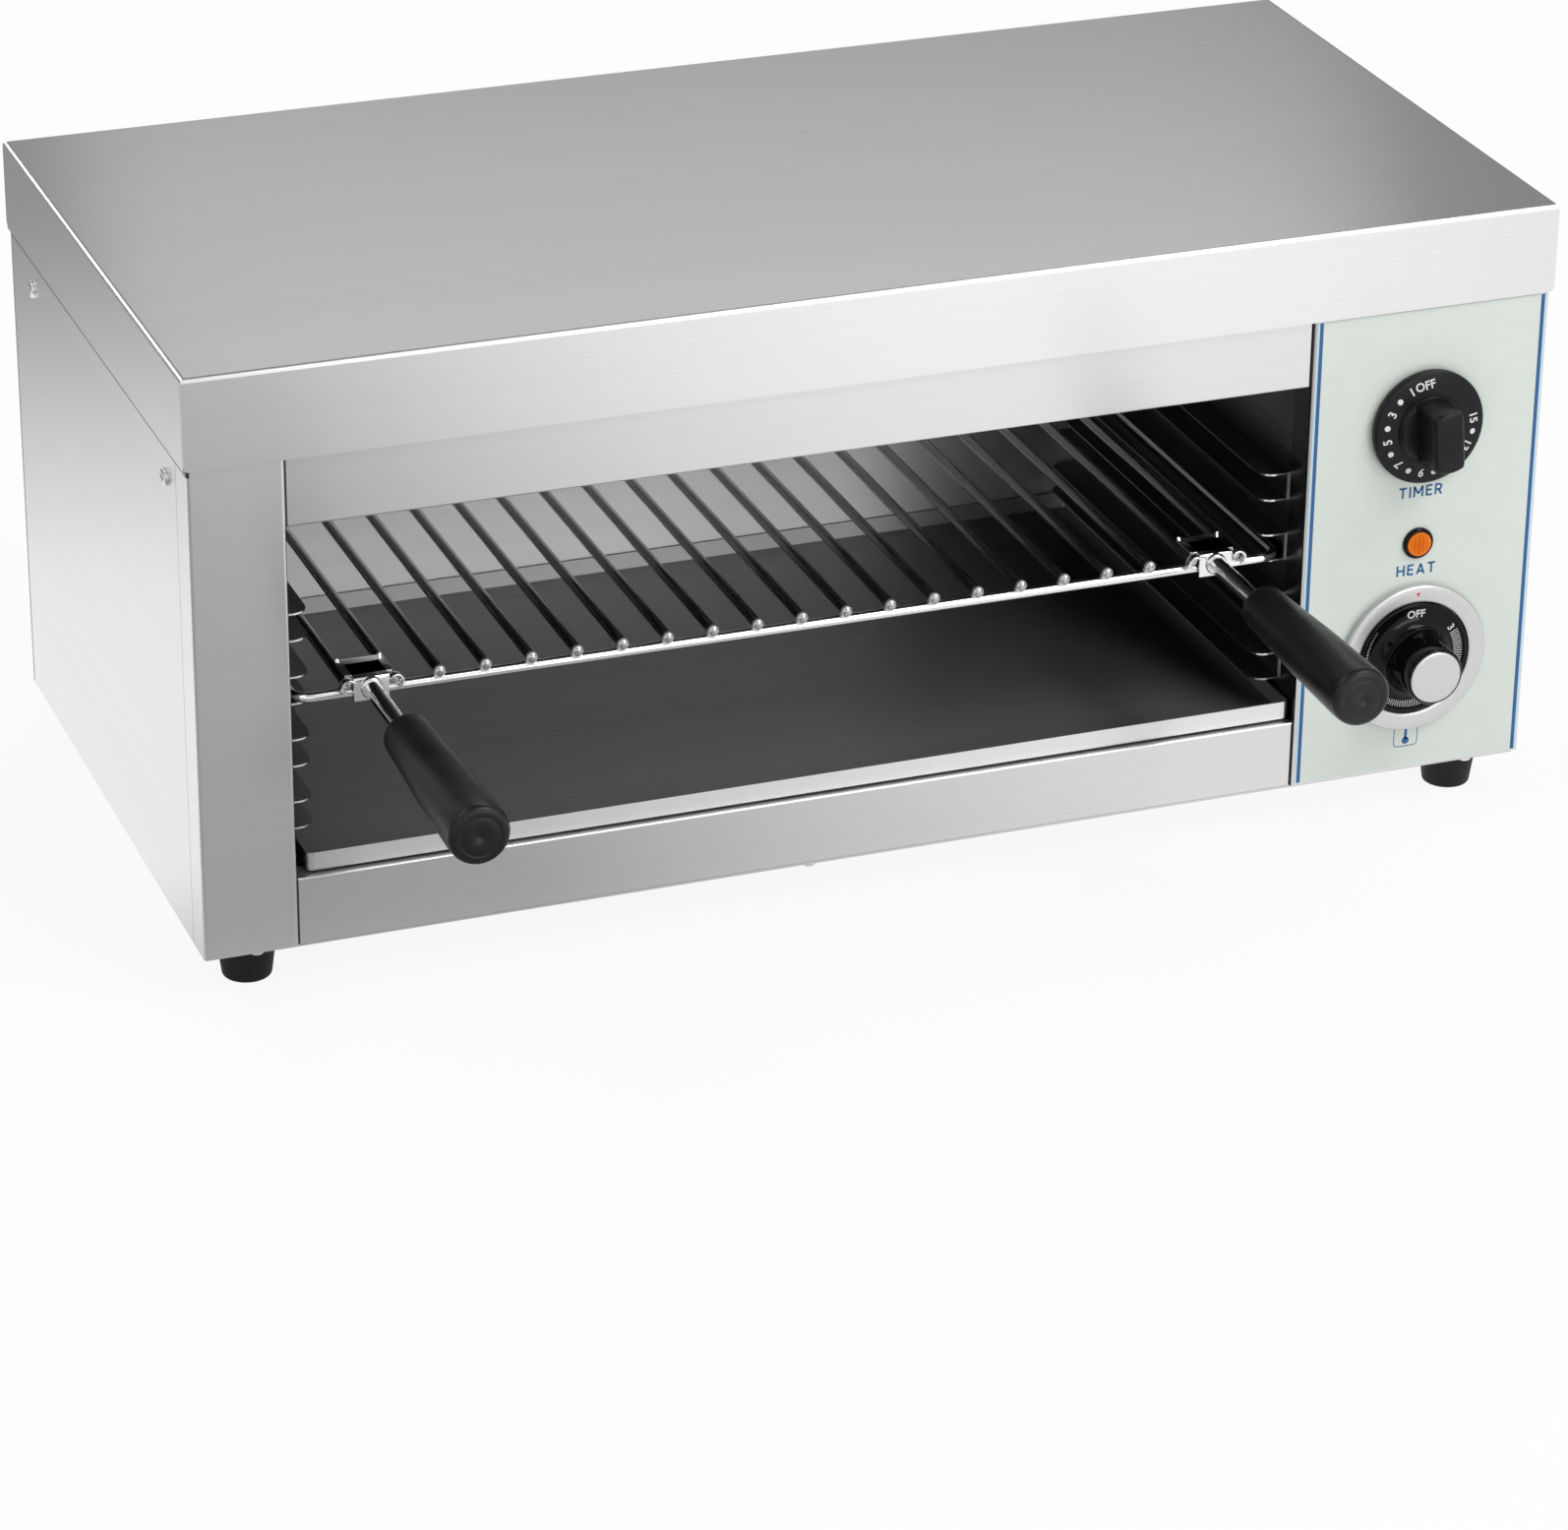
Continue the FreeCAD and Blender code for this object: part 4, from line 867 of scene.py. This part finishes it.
def timerDial():
    low, high = boxOf("timer_dial")
    centre = (panelX, high.y, timerZ)
    radius = (high.x - low.x) / 2
    depth = high.y - low.y + timerLook["extraReach"]
    rimTop, edge, fall = depth * timerLook["rimShare"], timerLook["edge"], timerLook["rimFall"]
    topRadius = radius * timerLook["topShare"]
    outline = [(radius - edge, 0), (radius, edge), (radius, rimTop - edge), (radius - fall, rimTop),
               (topRadius, depth)]

    # The dial's reach at a radius, on the slope between its rim and its top.
    def cone(r):
        slope = (depth - rimTop) / (radius - fall - topRadius)
        return min(depth, max(rimTop, rimTop + (radius - fall - r) * slope))

    def build(work):
        profile = [(0, 0)] + roundedLine(outline, timerLook["corner"], 4) + [(0, depth)]
        addTurned(work, profile, centre, (0, -1, 0), timerLook["sides"])
    showPiece("timerDial", build, plasticLook["dial"], "timer", 24, "timer_dial")

    def figures(work):
        for turn, word in timerMarks.items():
            figure = letterMesh(word, timerLook["figureHeight"])
            layMark(work, *figure, centre, timerLook["figureRadius"], turn, cone)
        for turn in timerDots:
            layMark(work, *disc(timerLook["dotRadius"]), centre, timerLook["dotRing"], turn, cone)
    showPiece("timerFigures", figures, plasticLook["figure"], "timer")


# The wing's sections hold a share of its reach, the radius of its round ends and its half thickness.
wingLook = {"lean": 5.0, "arcShare": 0.9, "flankShares": (-0.9, -0.5, 0.0, 0.5, 0.9),
            "endShares": (1.0, 0.6, 0.2, -0.2, -0.6, -1.0), "hubRadius": 15.7, "hubFoot": 0.4, "sides": 64,
            "sections": ((0.08, 15.2, 9.0), (0.16, 15.0, 8.0), (0.28, 14.8, 7.5), (0.60, 14.5, 7.3),
                         (0.95, 14.2, 7.1), (1.03, 14.0, 6.9), (1.07, 13.5, 6.4), (1.085, 12.8, 5.8))}


# The wing's plan at one reach: a strip cut from a round, with softened corners.
def wingOutline(roundRadius, halfThick):
    corner = asin(halfThick / roundRadius)
    arcs = [corner * wingLook["arcShare"] * share for share in wingLook["endShares"]]
    half = [(halfThick, roundRadius * cos(corner) * share) for share in wingLook["flankShares"]]
    half += [(roundRadius * sin(arc), roundRadius * cos(arc)) for arc in arcs]
    return half + [(-u, -v) for u, v in half]


def timerKnob():
    base = boxOf("timer_dial")[0].y
    tall = base - boxOf("timer_knob")[0].y
    lean = radians(wingLook["lean"])
    hub, foot = wingLook["hubRadius"], wingLook["hubFoot"]

    def build(work):
        profile = roundedLine([(0, -foot), (hub, -foot), (hub, 1.6), (hub - 1.6, 3.2), (9.0, 3.4), (0, 3.4)],
                              0.8, 4)
        addTurned(work, profile, (panelX, base, timerZ), (0, -1, 0), wingLook["sides"])
        rings = []
        for along, roundRadius, halfThick in wingLook["sections"]:
            rings.append([work.verts.new((panelX + u * cos(lean) - v * sin(lean), base - along * tall,
                                          timerZ + u * sin(lean) + v * cos(lean)))
                          for u, v in wingOutline(roundRadius, halfThick)])
        joinRings(work, rings)
        work.faces.new(rings[-1])
        work.faces.new(rings[0][::-1])
    showPiece("timerKnob", build, plasticLook["dial"], "timer", 40, "timer_knob")


timerDial()
timerKnob()


# Thermostat

heatLook = {"bezelGrowth": 0.9, "bezelBore": 26.65, "bezelFoot": 1.6, "markRing": 30.6, "capGrowth": 0.4,
            "face": 2.35, "bowl": 1.5, "offHeight": 3.612, "offRing": 21.1, "figureHeight": 3.36,
            "tickFirst": 52.0, "tickLast": 300.0, "tickStep": 3.0, "tickWidth": 0.34, "tickOuter": 23.6,
            "tickInner": 23.3, "tickGrowth": 5.9, "tickClear": 8, "bezelSides": 128, "knobSides": 112,
            "capSides": 96}
heatMarks = {"1": (97, 19.6), "2": (210, 21.4), "3": (305, 21.4)}


def thermostatBezel():
    low, high = boxOf("thermostat_bezel")
    place = (panelX, high.y, thermostatZ)
    inner, outer, deep = heatLook["bezelBore"], (high.x - low.x) / 2 + heatLook["bezelGrowth"], high.y - low.y
    foot = outer - heatLook["bezelFoot"]
    outline = [(inner, 0.0), (foot, 0.0), (foot, deep * 0.42), (outer, deep * 0.56), (outer, deep * 0.76),
               (outer - 0.7, deep * 0.97), (outer - 3.0, deep), (inner + 1.0, deep * 0.96),
               (inner, deep * 0.84), (inner, 0.0)]

    def build(work):
        addTurned(work, roundedLine(outline, 0.5), place, (0, -1, 0), heatLook["bezelSides"])
    showPiece("thermostatBezel", build, metalLook["bezel"], "casing", 40, "thermostat_bezel")

    def marker(work):
        layMark(work, [(-1.0, 1.0), (1.0, 1.0), (0, -1.1)], [(0, 2, 1)], place, heatLook["markRing"], 0.0,
                lambda radius: deep * 0.98, 0.12)
    showPiece("thermostatMark", marker, plasticLook["mark"], "casing")


# The ticks grow longer as the heat rises, over the turn from 50 to 305 degrees.
def tickFoot(turn):
    return heatLook["tickInner"] - heatLook["tickGrowth"] * (turn - 50.0) / 255.0


def thermostatKnob():
    low, high = boxOf("thermostat_knob")
    centre = (panelX, high.y, thermostatZ)
    tall, radius = high.y - low.y, (high.x - low.x) / 2
    face, bowl = heatLook["face"], tall - heatLook["bowl"]
    rim = roundedLine([(0, 0), (radius, 0), (radius, 2.5), (radius - 0.8, 3.0), (radius - 1.9, 2.9),
                       (24.0, face), (22.0, face)], 0.3, 3)
    hub = roundedLine([(19.5, face), (15.6, face + 2.2), (14.3, 7.8), (13.5, 14.0), (13.3, tall - 1.0),
                       (12.5, tall), (11.7, tall)], 2.2, 6)

    def build(work):
        addTurned(work, rim + hub + [(11.6, bowl), (0, bowl)], centre, (0, -1, 0), heatLook["knobSides"])
    showPiece("thermostatKnob", build, plasticLook["knobGloss"], "thermostat", 30,
              "thermostat_knob")

    def put(work, shape, ring, turn):
        layMark(work, *shape, centre, ring, turn, lambda r: face)

    def figures(work):
        put(work, letterMesh("OFF", heatLook["offHeight"]), heatLook["offRing"], 0.0)
        for word, (turn, ring) in heatMarks.items():
            put(work, letterMesh(word, heatLook["figureHeight"]), ring, turn)
        turn, outer = heatLook["tickFirst"], heatLook["tickOuter"]
        while turn < heatLook["tickLast"]:
            if min(abs(turn - heatMarks[word][0]) for word in ("1", "2")) > heatLook["tickClear"]:
                inner = tickFoot(turn)
                put(work, rectangle(heatLook["tickWidth"], outer - inner), (outer + inner) / 2, turn)
            turn += heatLook["tickStep"]
    showPiece("thermostatFigures", figures, plasticLook["figure"], "thermostat")


def thermostatCap():
    low, high = boxOf("thermostat_cap")
    radius, deep = (high.x - low.x) / 2 + heatLook["capGrowth"], high.y - low.y
    profile = roundedLine([(0, 0), (radius - 0.8, 0), (radius - 0.8, deep - 1.0), (radius, deep - 0.9),
                           (radius, deep - 0.5), (radius - 0.6, deep - 0.1), (radius - 1.3, deep),
                           (0, deep)], 0.3, 3)

    def build(work):
        addTurned(work, profile, (panelX, high.y, thermostatZ), (0, -1, 0), heatLook["capSides"])
    showPiece("thermostatCap", build, metalLook["bezel"], "thermostat", 30, "thermostat_cap")


thermostatBezel()
thermostatKnob()
thermostatCap()


# Pilot lamp

lampShape = {"flutes": 1.95, "fluteDepth": 0.9, "rings": 18, "sides": 64, "rimShare": 0.72,
             "collarRadius": 7.2, "collarBore": 5.6, "collarFoot": 5.9, "seat": 0.4, "barrel": (5.4, 4.4),
             "barrelTop": 0.3}


def lampLens():
    low, high = boxOf("lamp_lens")
    radius, dome = (high.x - low.x) / 2, high.y - low.y
    rings, sides, rim = lampShape["rings"], lampShape["sides"], lampShape["rimShare"]

    def build(work):
        rows = []
        for ring in range(rings + 1):
            share = ring / rings
            row = []
            for step in range(sides):
                angle = 2 * pi * step / sides
                x, z = radius * share * cos(angle), radius * share * sin(angle)
                rise = dome * (rim + (1 - rim) * sqrt(1 - share ** 2))
                rise -= lampShape["fluteDepth"] * abs(sin(pi * x / lampShape["flutes"])) * (1 - share ** 6)
                row.append(work.verts.new((panelX + x, high.y - rise, lampZ + z)))
            rows.append(row)
        foot = [work.verts.new((v.co.x, high.y, v.co.z)) for v in rows[-1]]
        joinRings(work, rows + [foot])
        work.faces.new(foot[::-1])
    showPiece("lampLens", build, lampFinish, "casing", 30, "lamp_lens")


def lampRim():
    low, high = boxOf("lamp_housing")
    place = (panelX, filmLow.y, lampZ)
    proud, deep = filmLow.y - low.y, high.y - filmLow.y
    rim, bore, foot, seat = (lampShape[key] for key in ("collarRadius", "collarBore", "collarFoot", "seat"))
    outer, inner = lampShape["barrel"]
    top = lampShape["barrelTop"]

    def build(work):
        collar = roundedLine([(bore, -seat), (bore, proud), (rim - 0.7, proud), (rim, proud - 0.8),
                              (rim, 0.0), (foot, 0.0), (foot, -seat), (bore, -seat)], 0.25, 3)
        barrel = [(outer, top), (outer, -deep), (inner, -deep), (inner, top), (outer, top)]
        addTurned(work, collar, place, (0, -1, 0), lampShape["sides"])
        addTurned(work, barrel, place, (0, -1, 0))
    showPiece("lampRim", build, plasticLook["knobGloss"], "casing", 30, "lamp_housing")


lampLens()
lampRim()
print("controls are dressed")


# Screws and feet

screwLook = {"crossLength": 0.62, "crossWidth": 0.16, "recess": 1.0, "headHeight": 1.8, "sides": 48,
             "turn": 20}


# A pan head with a cross recess: rings of points that pass from the round rim to the cross.
def addScrewHead(work, seat, outward, radius):
    axis, side, other = axesOf(outward)
    height, steps = screwLook["headHeight"], screwLook["sides"]
    longArm, shortArm = screwLook["crossLength"] * radius, screwLook["crossWidth"] * radius
    floor = height - screwLook["recess"]

    def cross(angle):
        c, s = max(abs(cos(angle)), 1e-6), max(abs(sin(angle)), 1e-6)
        return max(min(longArm / c, shortArm / s), min(shortArm / c, longArm / s))

    levels = [(lambda a: radius, 0.0), (lambda a: radius, height * 0.45),
              (lambda a: radius * 0.93, height * 0.75), (lambda a: radius * 0.78, height * 0.95),
              (lambda a: max(cross(a) * 1.06, radius * 0.3), height), (cross, height * 0.94),
              (lambda a: cross(a) * 0.72, floor), (lambda a: 0.0, floor)]
    rings = []
    for reach, along in levels:
        centre = Vector(seat) + axis * along
        angles = [2 * pi * step / steps + radians(screwLook["turn"]) for step in range(steps)]
        rings.append([work.verts.new(centre + side * (reach(a) * cos(a)) + other * (reach(a) * sin(a)))
                      for a in angles])
    joinRings(work, rings)
    work.faces.new(rings[0][::-1])


# Heads on the outer faces of a node's screws: axis is the one they point along, and outward its
# sign, or None where it is the side of the casing that the screw is on.
def screws(name, node, axis, outward=None):
    def build(work):
        for low, high in islandsOf(node):
            sign = outward or (1 if low[axis] > 0 else -1)
            seat = (low + high) / 2
            seat[axis] = (high if sign > 0 else low)[axis] - sign * screwLook["headHeight"]
            direction = Vector((0, 0, 0))
            direction[axis] = sign
            across = 1 if axis == 0 else 0
            addScrewHead(work, seat, direction, (high[across] - low[across]) / 2)
    showPiece(name, build, metalLook["zinc"], "casing", 35, node)


screws("sideScrews", "side_screws", 0)
screws("baseScrews", "base_screws", 2, -1)
screws("backScrews", "back_screws", 1, 1)

footLook = {"heelShare": 0.78, "pocket": 5.0, "pocketDepth": 9.0, "bore": 2.6, "corner": 1.4, "sides": 56}


def rubberFeet():
    pocket, depth, bore = (footLook[key] for key in ("pocket", "pocketDepth", "bore"))

    def build(work):
        for low, high in islandsOf("rubber_feet"):
            top, tall = (high.x - low.x) / 2, high.z - low.z
            heel = top * footLook["heelShare"]
            outline = roundedLine([(bore, depth), (pocket, depth), (pocket, 0), (heel, 0),
                                   (top - 0.7, tall - 1.6), (top, tall - 1.2), (top, tall), (bore, tall)],
                                  footLook["corner"])
            seat = ((low.x + high.x) / 2, (low.y + high.y) / 2, low.z)
            addTurned(work, outline + outline[:1], seat, (0, 0, 1), footLook["sides"])
    showPiece("rubberFeet", build, plasticLook["rubber"], "casing", 40, "rubber_feet")


rubberFeet()
print("screws and feet are dressed")


# Stage, light and camera

# The paper's values below set painted pools of light, seen only where the steel mirrors the paper.
stageLook = {"floorSize": 9.0, "floorTone": 0.86, "cameraLift": 0.90, "mirrorLift": 0.9,
             "paintedLightLeft": 0.32, "paintedLightRight": 1.00, "acrossSpan": (-0.14, 0.16),
             "paintedLightNear": 1.15, "paintedLightFarBack": 0.28, "alongSpan": (0.30, 0.78), "frontSpan": (-0.02, -0.20),
             "skyFront": 1.0, "skyBack": 0.27, "skySpan": (-0.45, 0.15), "skyOverhead": 0.55,
             "heightSpan": (0.45, 0.75), "skyDiffuse": 0.62}


# Painted light on the paper, seen only where the steel mirrors it: pools darker in front on the left and far
# behind.
def paintedFloorLight(tree, place):
    look, along = stageLook, splitAxes(tree, place)
    inFront = stretchValue(tree, along["Y"], *look["frontSpan"], 0.0, 1.0)
    far = stretchValue(tree, along["Y"], *look["alongSpan"], look["paintedLightNear"], look["paintedLightFarBack"])
    across = stretchValue(tree, along["X"], *look["acrossSpan"], look["paintedLightLeft"], look["paintedLightRight"])
    return blend(tree, "FLOAT", inFront, far, across)


# Paper that keeps the object's shadow, and shines by itself a little to the camera; in mirrors it shines with
# painted pools of light.
def makeFloor():
    half = stageLook["floorSize"] / 2
    mesh = bpy.data.meshes.new("floor")
    corners = [(-half, -half, 0), (half, -half, 0), (half, half, 0), (-half, half, 0)]
    mesh.from_pydata(corners, [], [(0, 1, 2, 3)])
    floor = bpy.data.objects.new("floor", mesh)
    scene.collection.objects.link(floor)
    paper = {"Base Color": grey(stageLook["floorTone"]), "Roughness": 0.9, "Specular IOR Level": 0.1}
    material, tree, shader, place = startMaterial("floorPaper", **paper)
    path = addNode(tree, "ShaderNodeLightPath").outputs
    glow = addNode(tree, "ShaderNodeEmission")
    # Painted light: in mirrors the paper's glow follows the painted pools, not a lamp.
    shine = blend(tree, "FLOAT", path["Is Camera Ray"], paintedFloorLight(tree, place), 1.0)
    feed(tree, glow.inputs["Strength"], shine)
    seen = mathNode(tree, "MULTIPLY", path["Is Camera Ray"], stageLook["cameraLift"])
    mirrored = mathNode(tree, "MULTIPLY", path["Is Glossy Ray"], stageLook["mirrorLift"])
    lift = mathNode(tree, "MAXIMUM", seen, mirrored)
    mixed = addNode(tree, "ShaderNodeMixShader")
    for index, source in enumerate((lift, shader.outputs[0], glow.outputs[0])):
        feed(tree, mixed.inputs[index], source)
    feed(tree, tree.nodes["Material Output"].inputs["Surface"], mixed.outputs[0])
    mesh.materials.append(material)


# White to the camera; brighter in front and dimmer behind and overhead where the steel mirrors it.
def makeWorld():
    world = bpy.data.worlds.new("studio")
    scene.world = world
    world.use_nodes = True
    tree, look = world.node_tree, stageLook
    along = splitAxes(tree, addNode(tree, "ShaderNodeTexCoord").outputs["Generated"])
    path = addNode(tree, "ShaderNodeLightPath").outputs
    sky = stretchValue(tree, along["Y"], *look["skySpan"], look["skyFront"], look["skyBack"])
    height = stretchValue(tree, along["Z"], *look["heightSpan"], 1.0, look["skyOverhead"])
    mirrored = mathNode(tree, "MULTIPLY", path["Is Glossy Ray"], mathNode(tree, "MULTIPLY", sky, height))
    direct = mathNode(tree, "MAXIMUM", path["Is Camera Ray"], path["Is Transmission Ray"])
    lit = mathNode(tree, "MULTIPLY", path["Is Diffuse Ray"], look["skyDiffuse"])
    strength = mathNode(tree, "MAXIMUM", mathNode(tree, "MAXIMUM", mirrored, direct), lit)
    background = tree.nodes["Background"]
    feed(tree, background.inputs["Color"], grey(1.0))
    feed(tree, background.inputs["Strength"], strength)


# Each lamp's azimuth and elevation in degrees, distance, width and height, the radiance that its
# face shows, and the point it looks at.
lampBoxes = {
    "backBox": (21, 41, 1.15, 0.82, 0.40, 1.05, (0, 0, 0.2)),
    "edgeBox": (-26, 19, 2.6, 0.5, 0.5, 5.0, (0, 0, 0.2)),
    "mouthBox": (160, 10, 2.2, 0.9, 0.5, 3.4, (0, 0, 0.1)),
    "frontRightBox": (140, 48, 2.6, 1.5, 1.2, 4.6, (0, 0, 0.2)),
    "leftBox": (-75, 50, 2.4, 1.2, 1.0, 2.4, (0, 0, 0.2)),
}


def softbox(name, azimuth, elevation, distance, width, height, radiance, target):
    turn, lift = radians(azimuth), radians(elevation)
    offset = Vector((sin(turn) * cos(lift), cos(turn) * cos(lift), sin(lift))) * distance
    light = bpy.data.lights.new(name, "AREA")
    light.shape = "RECTANGLE"
    light.size = width
    light.size_y = height
    light.energy = radiance * pi * width * height
    lamp = bpy.data.objects.new(name, light)
    lamp.location = Vector(target) + offset
    lamp.rotation_euler = (-offset).to_track_quat("-Z", "Y").to_euler()
    lamp.visible_camera = False
    scene.collection.objects.link(lamp)


viewLook = {"place": (-0.8323, -2.2121, 1.1374), "yaw": 20.8, "pitch": 25.8, "roll": 0.59, "lens": 132.53}


def makeCamera():
    yaw, pitch, roll = (radians(viewLook[key]) for key in ("yaw", "pitch", "roll"))
    forward = Vector((sin(yaw) * cos(pitch), cos(yaw) * cos(pitch), -sin(pitch)))
    right = Vector((cos(yaw), -sin(yaw), 0))
    up = right.cross(forward)
    rolledRight, rolledUp = right * cos(roll) + up * sin(roll), up * cos(roll) - right * sin(roll)
    turn = Matrix((rolledRight, rolledUp, -forward)).transposed()
    camera = bpy.data.objects.new("camera", bpy.data.cameras.new("camera"))
    camera.data.sensor_width = 36.0
    camera.data.lens = viewLook["lens"]
    camera.data.clip_end = 50.0
    camera.matrix_world = Matrix.Translation(viewLook["place"]) @ turn.to_4x4()
    scene.collection.objects.link(camera)
    scene.camera = camera


makeFloor()
makeWorld()
for name, values in lampBoxes.items():
    softbox(name, *values)
makeCamera()
scene.view_settings.view_transform = "Standard"
print("stage is ready")
